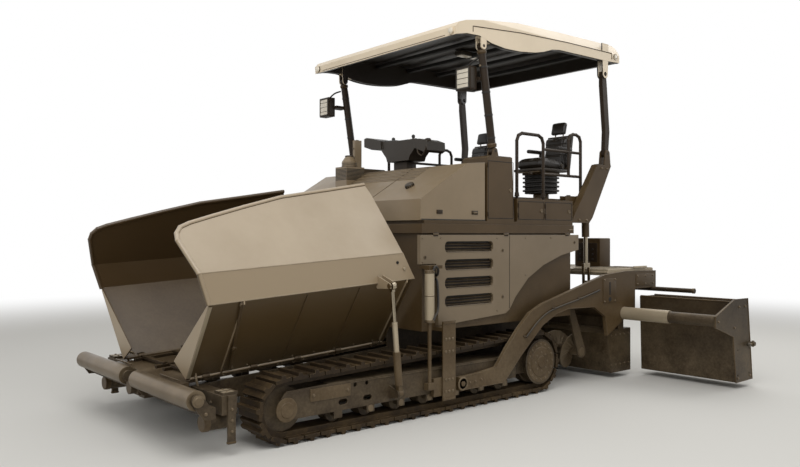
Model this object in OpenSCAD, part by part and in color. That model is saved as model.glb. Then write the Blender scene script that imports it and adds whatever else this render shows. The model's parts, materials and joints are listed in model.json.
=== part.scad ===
// Tracked asphalt paver: tractor with folding hopper wings, augers and an extending screed
// X points forwards to the hopper, Y to the left, Z up; the tracks stand on Z = 0

/* [Tracks] */
// Half the width over the outer edges of the track shoes
track_out = 1200; // [1120:5:1210]
// Width of one track shoe
shoe_w = 305; // [250:5:320]
// Distance between the axles of drive sprocket and front idler
wheelbase = 2970; // [2700:10:3050]
// Outer radius of the track over the drive sprocket
drive_r = 320; // [300:5:330]
// Outer radius of the track over the front idler
idler_r = 270; // [250:5:290]
// Height of a track shoe with its bar
shoe_h = 45; // [35:1:50]
// Thickness of the chain under the shoes
chain_h = 50; // [40:1:55]
// Number of shoes in one track
shoe_count = 50; // [44:1:54]
// Radius of a lower track roller
roller_r = 70; // [55:1:75]

/* [Tractor] */
// Half the width of the tractor body
body_half = 1120; // [1080:5:1130]
// Height of the deck above the ground
deck_z = 1730; // [1650:10:1800]
// Thickness of the deck plate
deck_t = 30; // [10:1:40]
// Clear height of the material tunnel above the conveyor
tunnel_h = 290; // [200:10:330]
// Half the inner width of the hopper floor and tunnel
floor_half = 610; // [560:5:620]
// Plate thickness of the tractor frame
frame_t = 20; // [12:1:30]
// Thickness of the side panels
panel_t = 40; // [20:1:45]
// Height of the rear edge of the engine hood
hood_z = 2290; // [2150:10:2350]
// Sheet thickness of the engine hood
hood_t = 20; // [6:1:30]

/* [Hopper] */
// Half the distance between the wing hinges
hinge_half = 640; // [630:5:660]
// Height of the wing hinge at its rear end
hinge_z = 610; // [600:5:640]
// Fall of the wing hinge towards the front, in degrees
hinge_fall = 3.5; // [2:0.5:4]
// Length of a wing along its hinge
wing_len = 1900; // [1700:10:1950]
// Plate thickness of the wings
wing_t = 12; // [8:1:16]
// Height of the vertical band of a wing
band_h = 235; // [180:5:260]
// Lean of the upper wing panel, in degrees
wing_lean = 34; // [25:1:38]
// Radius of the wing hinge rod
hinge_r = 16; // [12:1:20]

/* [Push rollers] */
// Radius of a push roller
push_r = 72; // [60:1:80]
// Half the width over the push roller beam
push_half = 1215; // [1100:5:1240]

/* [Screed] */
// Half the working width with both extensions out
screed_half = 2400; // [2350:10:2420]
// Height of the screed plate above the ground
screed_z = 60; // [50:5:100]
// Thickness of the tow arm plates
arm_t = 40; // [30:1:45]
// Outer radius of the fixed guide tube of the screed
guide_r = 80; // [70:1:85]
// Wall of each guide tube
guide_wall = 9; // [6:1:10]
// Radius of the augers
auger_r = 200; // [150:5:205]
// Pitch of the auger flights
auger_pitch = 300; // [250:10:350]

/* [Roof] */
// Half the width of the roof
roof_half = 1130; // [1050:10:1180]
// Thickness of the roof shell
roof_t = 30; // [15:1:40]
// Radius of a roof post
post_r = 38; // [30:1:45]

/* [Hidden] */
$fn = 48;

// Clearances: between moving pieces, between rolling parts and of pins and sliding fits
gap = 5;
fit = 0.5;
slide = 0.3;
// Reach of the whole machine in front of and behind the middle of the track contact
front_reach = 2300;
rear_reach = 3540;
mid_x = (rear_reach - front_reach) / 2;

// Track geometry
idler_x = wheelbase / 2 + 15;
drive_x = idler_x - wheelbase;
track_in = track_out - shoe_w;
track_mid = (track_out + track_in) / 2;
chain_w = shoe_w - 110;
run_rise = drive_r - idler_r;
run_d = sqrt(wheelbase * wheelbase + run_rise * run_rise);
run_tilt = atan(run_rise / wheelbase) + asin(run_rise / run_d);
run_len = sqrt(run_d * run_d - run_rise * run_rise);
loop_front_r = idler_r - shoe_h;
loop_rear_r = drive_r - shoe_h;

// Colours of the finishes
dark = [0.25, 0.2, 0.13];
mid_brown = [0.4, 0.34, 0.25];
tan_paint = [0.7, 0.64, 0.55];
steel = [0.55, 0.5, 0.42];

// Everything is drawn from the middle of the track contact and moved so that X = 0 is mid-length
module placed() { translate([mid_x, 0, 0]) children(); }
module sided(s) { if (s > 0) children(); else mirror([0, 1, 0]) children(); }
module both() { children(); mirror([0, 1, 0]) children(); }

// Side view outline drawn in X and Z, from y0 to y1
module across(y0, y1) { translate([0, y1, 0]) rotate([90, 0, 0]) linear_extrude(y1 - y0) children(); }
// Rear view outline drawn in Y and Z, from x0 to x1
module along(x0, x1) { translate([x0, 0, 0]) rotate([90, 0, 90]) linear_extrude(x1 - x0) children(); }
// Plan outline drawn in X and Y, from z0 to z1
module upward(z0, z1) { translate([0, 0, z0]) linear_extrude(z1 - z0) children(); }
module block(a, b) { translate(a) cube([b[0] - a[0], b[1] - a[1], b[2] - a[2]]); }
module rod_y(x, z, r, y0, y1) { translate([x, y1, z]) rotate([90, 0, 0]) cylinder(r = r, h = y1 - y0); }
module rod_x(y, z, r, x0, x1) { translate([x0, y, z]) rotate([0, 90, 0]) cylinder(r = r, h = x1 - x0); }
module rod_z(x, y, r, z0, z1) { translate([x, y, z0]) cylinder(r = r, h = z1 - z0); }
// Round bar from one point to another
module bar(a, b, r) {
    d = b - a;
    translate(a) rotate([0, acos(d[2] / norm(d)), atan2(d[1], d[0])]) cylinder(r = r, h = norm(d));
}
module rounded(w, h, r) { translate([r, r]) offset(r) square([w - 2 * r, h - 2 * r]); }

// Tracks
// Place and angle on the chain loop at distance s, starting under the idler and going back
function loop_len() = wheelbase + run_len + loop_rear_r * (180 + run_tilt) * PI / 180
    + loop_front_r * (180 - run_tilt) * PI / 180;
function loop_at(s) =
    let (rear = loop_rear_r * (180 + run_tilt) * PI / 180)
    s < wheelbase ? [idler_x - s, shoe_h, 0]
    : s < wheelbase + rear ?
        let (a = (s - wheelbase) / loop_rear_r * 180 / PI)
        [drive_x - loop_rear_r * sin(a), drive_r - loop_rear_r * cos(a), -a]
    : s < wheelbase + rear + run_len ?
        let (t = s - wheelbase - rear)
        [drive_x + loop_rear_r * sin(run_tilt) + t * cos(run_tilt),
            drive_r + loop_rear_r * cos(run_tilt) - t * sin(run_tilt), 180 - run_tilt]
    :
        let (a = (s - wheelbase - rear - run_len) / loop_front_r * 180 / PI)
        [idler_x + loop_front_r * sin(run_tilt + a), idler_r + loop_front_r * cos(run_tilt + a),
            180 - run_tilt - a];

module loop_2d(inset) {
    hull() {
        translate([idler_x, idler_r]) circle(r = loop_front_r - inset, $fn = 64);
        translate([drive_x, drive_r]) circle(r = loop_rear_r - inset, $fn = 64);
    }
}

module shoe_2d(pitch) {
    polygon([[-pitch / 2 + 6, 10], [pitch / 2 - 6, 10], [pitch / 2 - 6, -18], [22, -18],
        [14, -shoe_h + 1], [-14, -shoe_h + 1], [-22, -18], [-pitch / 2 + 6, -18]]);
}

module track(s) {
    pitch = loop_len() / shoe_count;
    color(dark) placed() sided(s) {
        across(track_mid - chain_w / 2, track_mid + chain_w / 2)
            difference() { loop_2d(0); loop_2d(chain_h); }
        across(track_in, track_out) {
            for (i = [0 : shoe_count - 1]) {
                p = loop_at((i + 0.5) * pitch);
                translate([p[0], p[1]]) rotate(p[2]) shoe_2d(pitch);
            }
        }
    }
}

// Track frame with idler, lower rollers, sprocket and final drive
frame_top = loop_front_r + idler_r - chain_h - 25;
frame_out = track_out - 15;
module track_frame(s) {
    idler_in = loop_front_r - chain_h - fit;
    drive_in = loop_rear_r - chain_h - fit;
    roll_z = shoe_h + chain_h + roller_r + fit;
    nose_x = idler_x + 45;
    color(dark) placed() sided(s) {
        difference() {
            union() {
                for (y = [track_mid - chain_w / 2 - 40, frame_out - 14])
                    across(y, y + 14) polygon([[-1120, 200], [nose_x - 40, 190], [nose_x, 230],
                        [nose_x, frame_top - 60], [nose_x - 45, frame_top - 10], [1100, frame_top],
                        [-1040, frame_top], [-1120, 300]]);
                block([-1040, track_mid - chain_w / 2 - 40, frame_top - 16], [1100, frame_out, frame_top]);
            }
            for (x = [730, 850, 970]) rod_y(x, frame_top - 40, 18, frame_out - 30, frame_out + 1);
            for (x = [700, 950]) across(frame_out - 30, frame_out + 1)
                translate([x, 260]) hull() { circle(r = 22); translate([45, 0]) circle(r = 22); }
        }
        for (i = [0 : 6]) {
            x = -960 + i * 330;
            rod_y(x, roll_z, roller_r, track_mid - 60, track_mid + 60);
            rod_y(x, roll_z, 26, track_mid - chain_w / 2 - 40, frame_out);
            for (y = [track_mid - chain_w / 2 - 40, frame_out - 14])
                block([x - 40, y, roll_z - 30], [x + 40, y + 14, 205]);
        }
        rod_y(idler_x, idler_r, idler_in, track_mid - 70, track_mid + 70);
        rod_y(idler_x, idler_r, 45, track_mid - chain_w / 2 - 40, frame_out);
        rod_y(drive_x, drive_r, drive_in, track_mid - 40, track_mid + 40);
        rod_y(drive_x, drive_r, 205, track_in - 60, track_out + 8);
        rod_y(drive_x, drive_r, 225, track_out + 3, arm_y0 - gap - 1);
        block([drive_x + 150, track_mid - chain_w / 2 - 40, 220], [-1000, track_mid + chain_w / 2, 420]);
        for (x = [-700, 700]) block([x - 90, 660, 250], [x + 90, track_mid - chain_w / 2 - 40, 400]);
    }
}

// Lugs and pin at the foot of a wing cylinder, face to face with the outer plate of the track frame
module ram_bracket(s) {
    color(dark) placed() sided(s) wing_frame() {
        for (x = [ram_x - 34, ram_x + 22]) along(x, x + 12) polygon([[frame_out - hinge_half, ram_foot[1] - 50],
            [ram_foot[0] + 20, ram_foot[1] - 26], [ram_foot[0] + 30, ram_foot[1]],
            [ram_foot[0] + 20, ram_foot[1] + 26], [frame_out - hinge_half, ram_foot[1] + 60]]);
        rod_x(ram_foot[0], ram_foot[1], foot_r - slide, ram_x - 34, ram_x + 34);
    }
}

// Frame of the tractor, a channel that carries the conveyors
frame_front = 2040;
frame_rear = -2080;
wall_x = 60;
hinge_x0 = 135;
floor_t = 20;
function floor_z(x) = hinge_z - (x - hinge_x0) * tan(hinge_fall) - 20;
module main_frame() {
    color(dark) placed() {
        both() across(floor_half + 10, floor_half + 30) polygon([[frame_front, 300],
            [frame_front, floor_z(frame_front) - floor_t - 20], [wall_x, floor_z(wall_x) - floor_t - 20],
            [wall_x, floor_z(wall_x) + tunnel_h], [frame_rear, floor_z(wall_x) + tunnel_h],
            [frame_rear, 520], [-1850, 330], [1700, 300]]);
        block([frame_rear, -floor_half - 10, floor_z(wall_x) + tunnel_h - frame_t],
            [wall_x, floor_half + 10, floor_z(wall_x) + tunnel_h]);
        for (x = [-1850, -1000, 0, 900, 1900]) block([x - 30, -floor_half - 10, 310], [x + 30, floor_half + 10, 370]);
        both() for (x = [-700, 700]) block([x - 90, floor_half + 30, 250], [x + 90, 660, 400]);
    }
}

// Housing of the tractor body with the engine bay
bay_z = 1150;
engine_w = 900;
module housing() {
    base = floor_z(wall_x) + tunnel_h;
    ledge_z = deck_z - 115;
    ledge_x = wall_x + 40;
    color(mid_brown) placed() {
        difference() {
            along(frame_rear, wall_x) polygon([[-body_half, deck_z - deck_t], [body_half, deck_z - deck_t],
                [body_half, 740], [floor_half + 30, 740], [floor_half + 30, base], [-floor_half - 30, base],
                [-floor_half - 30, 740], [-body_half, 740]]);
            block([-720, -engine_w / 2 - 60, bay_z], [wall_x - 20, engine_w / 2 + 60, deck_z + 1]);
        }
        both() block([frame_rear, body_half, ledge_z], [ledge_x, panel_y + panel_t + 5, deck_z - deck_t]);
        block([wall_x, -body_half, ledge_z], [ledge_x, body_half, deck_z - deck_t]);
    }
}

module engine_block() {
    color(dark) placed() block([-690, -engine_w / 2, bay_z], [-60, engine_w / 2, deck_z + 180]);
}

// Engine hood with its sloping front and louvres
hood_front = 100;
hood_rear = -720;
hood_half = body_half + 30;
hood_low = deck_z + 190;
hood_ridge = -490;
hood_tilt = atan((hood_z - 20 - hood_low) / (hood_front - hood_ridge));
function hood_top(x) = hood_low + (hood_front - x) * tan(hood_tilt);
// Air intake with its dome and the exhaust plate on the slope of the hood
stack_x = -350;
stack_y = -500;
stack_top = 2330;
module hood_side_2d(inset) {
    polygon([[hood_rear, deck_z], [hood_front - inset, deck_z], [hood_front - inset, hood_low - inset],
        [hood_ridge, hood_z - 20 - inset], [hood_rear, hood_z - inset]]);
}
module hood() {
    color(tan_paint) placed() {
        difference() {
            across(-hood_half, hood_half) hood_side_2d(0);
            difference() {
                across(-hood_half + hood_t, hood_half - hood_t) hood_side_2d(hood_t);
                block([hood_rear, -hood_half, deck_z], [hood_rear + hood_t, hood_half, hood_z]);
            }
            block([hood_rear + hood_t, -hood_half + hood_t, deck_z - 1],
                [hood_front - hood_t, hood_half - hood_t, deck_z + 100]);
            for (x = [-285, -345, -405, -465]) block([x - 14, -640, deck_z + 300], [x + 14, 640, hood_z + 30]);
        }
        translate([-126, 747, hood_top(-126)]) rotate([0, hood_tilt, 0]) translate([0, 0, -8]) cylinder(r = 38, h = 34);
        block([stack_x - 120, stack_y - 100, hood_top(stack_x + 120) - 12], [stack_x + 120, stack_y + 100, stack_top]);
        rod_z(stack_x + 10, stack_y, 80, stack_top - 1, stack_top + 60);
        translate([stack_x + 10, stack_y, stack_top + 60]) cylinder(r1 = 80, r2 = 42, h = 55);
        block([stack_x - 140, stack_y - 15, hood_top(stack_x - 50) - 12], [stack_x - 50, stack_y + 25, 2630]);
    }
}

// Deck behind the hood with post boxes, seat bases and rear boxes
box_z = 2360;
platform_z = 1990;
bracket_z = 2020;
// Hinge lugs of the roof posts: half the clear width between them, thickness and pin radius
lug_in = 25;
lug_t = 14;
pin_r = 15;
module deck() {
    color(mid_brown) placed() {
        difference() {
            block([frame_rear, -body_half - 30, deck_z - deck_t], [wall_x, body_half + 30, deck_z]);
            block([-720, -engine_w / 2 - 60, deck_z - deck_t - 1], [wall_x - 20, engine_w / 2 + 60, deck_z + 1]);
        }
        both() {
            across(body_half - 300, body_half + 30) polygon([[-750, deck_z], [-750, box_z - 20],
                [-790, box_z], [-1110, box_z], [-1140, deck_z]]);
            block([-2080, 760, deck_z], [-1185, body_half + 30, platform_z - 30]);
            for (y = [lift_y - 40, lift_y + 28]) across(y, y + 12) polygon([[frame_rear, 1780], [frame_rear, bracket_z],
                [lift_top[0] - 45, bracket_z], [lift_top[0] - 45, 1965], [lift_top[0] + 75, 1965],
                [lift_top[0] + 110, 1900]]);
            block([lift_top[0] + 55, lift_y - 40, bracket_z], [lift_top[0] + 115, lift_y + 40, bracket_z + 10]);
            rod_y(lift_top[0], lift_top[1], lift_bore - slide, lift_y - 40, lift_y + 40);
            lugs(front_base, 45, box_z - 5, 30, pin_r + slide);
        }
        block([lift_top[0] - 70, -950, platform_z - 30], [-1140, 950, platform_z]);
        block([-1160, -900, deck_z], [-1140, 900, platform_z]);
    }
}

// Side panel with four slots, a notch for the levelling cylinder and an arch for the tow arm
panel_y = body_half;
module side_panel(s) {
    color(tan_paint) placed() sided(s) difference() {
        across(panel_y, panel_y + panel_t) difference() {
            polygon([[115, 1600], [115, 1340], [-75, 1340], [-105, 780], [-1000, 835],
                [-1060, 870], [-1150, 990], [-1340, 1165], [-1580, 1290], [-1870, 1385], [-2170, 1440],
                [-2170, 1600]]);
            for (i = [0 : 3]) translate([-825, 1440 - i * 165]) rounded(640, 100, 40);
        }
    }
}

// Hopper floor between the wings, with front lip, rear wall and the knuckles of the wing hinges
knuckles = [60, 480, 900, 1320, 1740];
knuckle_w = 60;
knuckle_r = 27;
module hopper_floor() {
    z0 = floor_z(wall_x);
    lip_x = frame_front + 8;
    color(steel) placed() {
        across(-floor_half, floor_half) polygon([[frame_rear, z0 - floor_t], [wall_x, z0 - floor_t],
            [lip_x, floor_z(lip_x) - floor_t], [lip_x, floor_z(lip_x)], [wall_x, z0], [frame_rear, z0]]);
        across(-floor_half - 60, floor_half + 60) polygon([[lip_x, floor_z(lip_x) - 70], [lip_x + 78, floor_z(lip_x + 78) - 70],
            [lip_x + 78, floor_z(lip_x + 78)], [lip_x, floor_z(lip_x)]]);
        both() block([frame_rear, floor_half - 5, z0 - floor_t], [wall_x - 30, floor_half + 10, z0]);
        block([wall_x, -floor_half - 20, z0 + tunnel_h], [wall_x + 16, floor_half + 20, 1200]);
        both() wing_frame() for (x = knuckles) difference() {
            union() {
                rod_x(0, 0, knuckle_r, x, x + knuckle_w);
                block([x, floor_half - hinge_half - 15, -36], [x + knuckle_w, 0, -24]);
            }
            rod_x(0, 0, hinge_r + slide, x - 1, x + knuckle_w + 1);
        }
    }
}

// Two slat conveyors that carry the mix to the augers
slat_h = 25;
module slat_conveyors() {
    z0 = floor_z(wall_x);
    rail_x = frame_front - 40;
    color(steel) placed() both() {
        for (y = [60, 520]) across(y, y + 40) polygon([[frame_rear + 20, z0], [wall_x, z0], [rail_x, floor_z(rail_x)],
            [rail_x, floor_z(rail_x) + slat_h], [wall_x, z0 + slat_h], [frame_rear + 20, z0 + slat_h]]);
        translate([wall_x, 0, z0]) rotate([0, hinge_fall, 0])
            for (i = [0 : 6]) block([100 + i * 290, 70, slat_h - 10], [140 + i * 290, 550, slat_h + 15]);
        for (i = [0 : 6]) block([frame_rear + 60 + i * 290, 70, z0 + slat_h - 10],
            [frame_rear + 100 + i * 290, 550, z0 + slat_h + 15]);
    }
}

// Cross beam at the front with its pads, brackets and open tube
module front_bumper() {
    color(dark) placed() {
        block([frame_front, -floor_half - 30, 300], [frame_front + 20, floor_half + 30, 385]);
        difference() {
            union() {
                block([frame_front + 20, -60, 265], [beam_x + 40, 60, beam_z0 - gap]);
                block([frame_front + 20, -60, beam_z1 + gap], [beam_x + 40, 60, beam_z1 + gap + 14]);
            }
            rod_z(beam_x, 0, pivot_r, 260, 290);
        }
        rod_z(beam_x, 0, pivot_r - slide, 265, beam_z1 + gap + 1);
        both() {
            block([frame_front - 140, floor_half + 30, 300], [frame_front - 20, 1150, 440]);
            for (y = [1010, 1085]) block([frame_front - 150, y, 440], [frame_front - 30, y + 60, 462]);
            block([frame_front - 120, 1150, 90], [frame_front - 60, 1170, 440]);
            difference() {
                rod_x(1000, 230, 60, frame_front - 130, frame_front + 60);
                rod_x(1000, 230, 44, frame_front - 100, frame_front + 61);
            }
            block([frame_front - 130, 960, 280], [frame_front - 60, 1040, 301]);
        }
    }
}

// Oscillating beam with two push rollers
push_x = front_reach - push_r;
push_z = 440;
beam_x = 2112;
beam_z0 = 300;
beam_z1 = 376;
pivot_r = 20;
cheek_t = 25;
hub_half = 75;
module push_beam() {
    color(dark) placed() {
        difference() {
            union() {
                block([beam_x - 25, -push_half + 30, beam_z0], [beam_x + 25, push_half - 30, beam_z1]);
                block([beam_x + 25, -hub_half, beam_z0], [push_x - 20, hub_half, beam_z1]);
            }
            rod_z(beam_x, 0, pivot_r, beam_z0 - 1, beam_z1 + 1);
        }
        rod_x(0, 360, 55, push_x - 20, push_x + 30);
        both() for (y = [hub_half, push_half - 40]) across(y, y + cheek_t) hull() {
            translate([push_x, push_z]) circle(r = 45);
            translate([beam_x, beam_z0]) square([70, 60]);
        }
    }
}
module push_roller(s) {
    color(steel) placed() sided(s) {
        rod_y(push_x, push_z, push_r, hub_half + cheek_t + gap, push_half - 40 - gap);
        rod_y(push_x, push_z, 22, hub_half + cheek_t + slide, push_half - 40 - slide);
    }
}

// Guide of the tow point with the levelling cylinder
tow_x = -320;
tow_z = 250;
tow_r = 24;
head_y0 = track_out - 8;
head_y1 = head_y0 + 40;
guide_t = 14;
level_x = 65;
level_y = 1225;
rod_r = 17;
module tow_guide(s) {
    color(mid_brown) placed() sided(s) {
        block([-230, head_y1 + gap, 125], [-75, head_y1 + gap + guide_t, 830]);
        block([-230, body_half, 740], [-75, head_y1 + gap, 775]);
        difference() {
            union() {
                rod_z(level_x, level_y, 42, 830, 1290);
                block([level_x - 34, level_y - 34, 1270], [level_x + 34, level_y + 34, 1302]);
                block([-60, body_half, 1302], [level_x + 34, level_y + 34, 1332]);
            }
            rod_z(level_x, level_y, rod_r + slide, 829, 1270);
        }
    }
}
module tow_head(s) {
    color(mid_brown) placed() sided(s) {
        block([-250, head_y0, 170], [20, head_y1, 330]);
        block([tow_x - 45, head_y0, 190], [-249, arm_y0 - gap, 310]);
        block([19, head_y0, 240], [level_x + 35, level_y + 25, 300]);
        rod_z(level_x, level_y, rod_r, 299, 1000);
        rod_y(tow_x, tow_z, tow_r - slide, arm_y0 - gap - 1, arm_y0 + arm_t + 8);
    }
}

rail_y = 1020;
rail_r = 17;
// Railings around the operator deck
module railings() {
    z0 = platform_z - 30;
    end_x = lift_top[0] + 85;
    front = [[-1330, z0], [-1330, 2560], [-1355, 2615], [-1410, 2640], [-1670, 2640], [-1725, 2615],
        [-1750, 2560], [-1750, z0]];
    rear = [[-2180, 2240], [-2180, 2630], [-2205, 2680], [-2260, 2700], [-2315, 2700], [-2370, 2680],
        [end_x, 2630], [end_x, bracket_z + 10]];
    color(dark) placed() both() {
        for (path = [front, rear]) {
            for (i = [0 : len(path) - 2]) bar([path[i][0], rail_y, path[i][1]], [path[i + 1][0], rail_y, path[i + 1][1]], rail_r);
            for (i = [1 : len(path) - 2]) translate([path[i][0], rail_y, path[i][1]]) sphere(r = rail_r + 1);
        }
        for (z = [2240, 2500]) bar([-1750, rail_y, z], [end_x, rail_y, z], rail_r - 2);
    }
    color(dark) placed() block([-960, -body_half + 300, platform_z], [-900, body_half - 300, platform_z + 60]);
}

// Lower rear posts that carry the roof
post_y = 1110;
module rear_bracket_posts() {
    top = rear_base - [0, 130];
    color(mid_brown) placed() both() {
        across(post_y - lug_in - lug_t, post_y + lug_in + lug_t) polygon([[frame_rear, deck_z],
            [frame_rear - 20, deck_z + 60], top + [190, 0], top - [70, 0], [-2440, deck_z + 60],
            [-2380, deck_z]]);
        lugs(rear_base, 60, top[1] - 5, 44, pin_r + slide);
    }
}

// Auger drive at the rear of the frame
auger_x = -2290;
auger_z = 330;
auger_y0 = 60;
auger_y1 = 1090;
shaft_r = 46;
module auger_carrier() {
    color(dark) placed() {
        block([frame_rear - 30, -90, 420], [frame_rear, 90, floor_z(wall_x) + tunnel_h]);
        block([auger_x - 70, -auger_y0, auger_z - 70], [auger_x + 70, auger_y0, 700]);
        block([auger_x + 70, -auger_y0, 560], [frame_rear - 30, auger_y0, 700]);
        both() {
            block([frame_rear - 30, auger_y1 - 40, 740], [frame_rear, auger_y1 + 24, 900]);
            across(auger_y1, auger_y1 + 24) difference() {
                hull() {
                    translate([frame_rear - 60, 740]) square([60, 100]);
                    translate([auger_x, auger_z]) circle(r = shaft_r + 20);
                }
                translate([auger_x, auger_z]) circle(r = shaft_r + slide);
            }
        }
    }
}

// Hopper wing, built along its inclined hinge, with a round rim and a front flap
wing_bend = [450, 605];
crease_z = wing_bend[1] + band_h;
// Rim of the upper panel: distance along the hinge and distance up the panel from the crease
rim_r = 18;
rim_points = [[150, 745], [605, 690], [1065, 637], [1430, 556], [1715, 487], [1930, 432], [2010, 400], [2052, 350],
    [2062, 290], [1990, 0]];
function on_panel(p) = [p[0], wing_bend[0] + wing_t - p[1] * sin(wing_lean) - wing_t / 2 * cos(wing_lean),
    crease_z + p[1] * cos(wing_lean) - wing_t / 2 * sin(wing_lean)];
module wing_frame() {
    translate([hinge_x0, hinge_half, hinge_z]) rotate([0, hinge_fall, 0]) children();
}
module wing(s) {
    front = wing_len + 30;
    edge = [for (p = rim_points) [p[0] * wing_len / 1900, p[1]]];
    rim = concat([for (p = edge) on_panel(p)], [[front, wing_bend[0] + wing_t / 2, wing_bend[1]]]);
    color(tan_paint) placed() sided(s) wing_frame() {
        difference() {
            along(-10, front) polygon([[0, -6], [wing_bend[0] + wing_t, wing_bend[1]],
                [wing_bend[0], wing_bend[1] + 8], [-8, 8]]);
            for (x = knuckles) rod_x(0, 0, knuckle_r + gap, x - gap, x + knuckle_w + gap);
        }
        rod_x(0, 0, hinge_r, 0, wing_len);
        across(wing_bend[0], wing_bend[0] + wing_t) polygon([[-45, wing_bend[1] - 5], [front, wing_bend[1] - 5],
            [edge[len(edge) - 1][0], crease_z], [78, crease_z]]);
        translate([0, wing_bend[0] + wing_t, crease_z]) rotate([90 + wing_lean, 0, 0])
            linear_extrude(wing_t) polygon(concat([[84, 0], [100, 285], [125, 640]], edge));
        for (i = [0 : len(rim) - 2]) bar(rim[i], rim[i + 1], rim_r);
        for (i = [1 : len(rim) - 2]) let (d = rim[i + 1] - rim[i])
            translate(rim[i]) rotate([0, acos(d[2] / norm(d)), atan2(d[1], d[0])]) sphere(r = rim_r + 1);
        along(front - 12, front) polygon([[-2, 0], [-200, 118], [440, wing_bend[1] - 1], [456, wing_bend[1] - 2]]);
        for (x = [40, 1640]) along(x, x + 12) polygon([[30, 0], [wing_bend[0] + wing_t, wing_bend[1] - 30],
            [wing_bend[0] + wing_t, wing_bend[1]], [30, 34]]);
        for (x = [ram_x - 34, ram_x + 24]) along(x, x + 10) polygon([[430, 590], [450, 555],
            [ram_eye[0] + 20, ram_eye[1] - 20], [ram_eye[0] + 20, ram_eye[1] + 20],
            [wing_bend[0] + wing_t, wing_bend[1] + 60]]);
        rod_x(ram_eye[0], ram_eye[1], eye_bore - eye_play, ram_x - 34, ram_x + 34);
    }
}

// Telescopic wing cylinder: barrel, sleeve and rod, square to the wing hinge
ram_x = 343;
ram_foot = [640, -320];
ram_eye = [610, 585];
ram_len = norm(ram_eye - ram_foot);
eye_bore = 24;
eye_play = 14;
foot_r = 16;
barrel_r = 32;
sleeve_r = 23;
piston_r = 17;
barrel_low = 68;
barrel_top = 350;
sleeve_low = 268;
sleeve_top = 600;
piston_low = 470;
module wing_ram() {
    d = ram_eye - ram_foot;
    wing_frame() translate([ram_x, ram_foot[0], ram_foot[1]]) rotate([-atan2(d[0], d[1]), 0, 0]) children();
}
module wing_barrel(s) {
    color(mid_brown) placed() sided(s) wing_ram() {
        difference() {
            rod_z(0, 0, barrel_r, barrel_low, barrel_top);
            rod_z(0, 0, sleeve_r + slide, barrel_low + 12, barrel_top + 1);
        }
        difference() {
            union() {
                rod_x(0, 0, 30, -20, 20);
                block([-20, -20, 0], [20, 20, barrel_low + 1]);
            }
            rod_x(0, 0, foot_r, -21, 21);
        }
    }
}
module wing_sleeve(s) {
    color(steel) placed() sided(s) wing_ram() difference() {
        rod_z(0, 0, sleeve_r, sleeve_low, sleeve_top);
        rod_z(0, 0, piston_r + slide, sleeve_low + 12, sleeve_top + 1);
    }
}
module wing_rod(s) {
    color(steel) placed() sided(s) wing_ram() {
        rod_z(0, 0, piston_r, piston_low, ram_len - 34);
        difference() {
            union() {
                rod_x(0, ram_len, 36, -16, 16);
                block([-16, -16, ram_len - 50], [16, 16, ram_len]);
            }
            rod_x(0, ram_len, eye_bore, -17, 17);
        }
    }
}

// Augers
module auger(s) {
    y0 = auger_y0 + slide;
    y1 = auger_y1 + 24;
    turns = (auger_y1 - auger_y0 - 60) / auger_pitch;
    steps = 20;
    n = floor(turns * steps);
    flight_t = 12;
    inner = shaft_r - 2;
    points = [for (i = [0 : n]) for (c = [[inner, 0], [auger_r, 0], [auger_r, flight_t], [inner, flight_t]])
        let (a = i * 360 / steps)
        [c[0] * cos(a), y0 + 12 + c[1] + i * auger_pitch / steps, c[0] * sin(a)]];
    faces = concat([[0, 1, 2, 3]], [[4 * n + 3, 4 * n + 2, 4 * n + 1, 4 * n]],
        [for (i = [0 : n - 1]) for (k = [0 : 3]) for (c = [[k, 4 + k, 4 + (k + 1) % 4], [k, 4 + (k + 1) % 4, (k + 1) % 4]])
            [for (v = c) 4 * i + v]]);
    color(steel) placed() sided(s) translate([auger_x, 0, auger_z]) {
        rod_y(0, 0, shaft_r, y0, y1);
        polyhedron(points, faces, convexity = 10);
    }
}

// Tow arms from the tow point to the screed
arm_y0 = 1215;
module tow_arms() {
    color(mid_brown) placed() both() {
        difference() {
            across(arm_y0, arm_y0 + arm_t) polygon([[tow_x + 40, 310], [-550, 325], [-770, 350],
                [-920, 520], [-1090, 690], [-1260, 830], [-1460, 910], [-1800, 990], [-2510, 1160],
                [-2910, 1190], [-rear_reach, 1180], [-rear_reach, 985], [-3105, 985], [-3105, 760],
                [-2560, 490], [-2520, 710], [-2320, 820], [-1880, 830], [-1670, 790], [-1450, 690],
                [-1110, 410], [-920, 230], [-860, 190], [tow_x + 40, 190]]);
            rod_y(tow_x, tow_z, tow_r, arm_y0 - 1, arm_y0 + arm_t + 1);
            rod_y(guide_x, guide_z, guide_r - guide_wall, arm_y0 - 1, arm_y0 + arm_t + 1);
        }
        rod_y(lift_pin[0], lift_pin[1], 10, lift_y - 40, arm_y0 - 40);
        rod_y(lift_pin[0], lift_pin[1], 30, arm_y0 - 41, arm_y0 + 1);
    }
}

// Basic screed with the fixed guide tubes
guide_x = -2880;
guide_z = 720;
module basic_screed() {
    color(mid_brown) placed() {
        across(-arm_y0, arm_y0) polygon([[-2600, screed_z + 440], [-2700, screed_z], [-3070, screed_z],
            [-3070, screed_z + 480], [-2700, screed_z + 480]]);
        difference() {
            union() {
                rod_y(guide_x, guide_z, guide_r, -arm_y0, arm_y0);
                block([guide_x - 50, -arm_y0, screed_z + 480], [guide_x + 50, arm_y0, 690]);
            }
            both() rod_y(guide_x, guide_z, guide_r - guide_wall, 20, arm_y0 + 1);
        }
    }
}

// Walkway across the top of the screed
module screed_walkway() {
    color(steel) placed() {
        block([-rear_reach, -arm_y0, 1150], [lift_pin[0] - 130, arm_y0, 1210]);
        block([-rear_reach, -arm_y0, 1100], [-rear_reach + 30, arm_y0, 1151]);
    }
}

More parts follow.
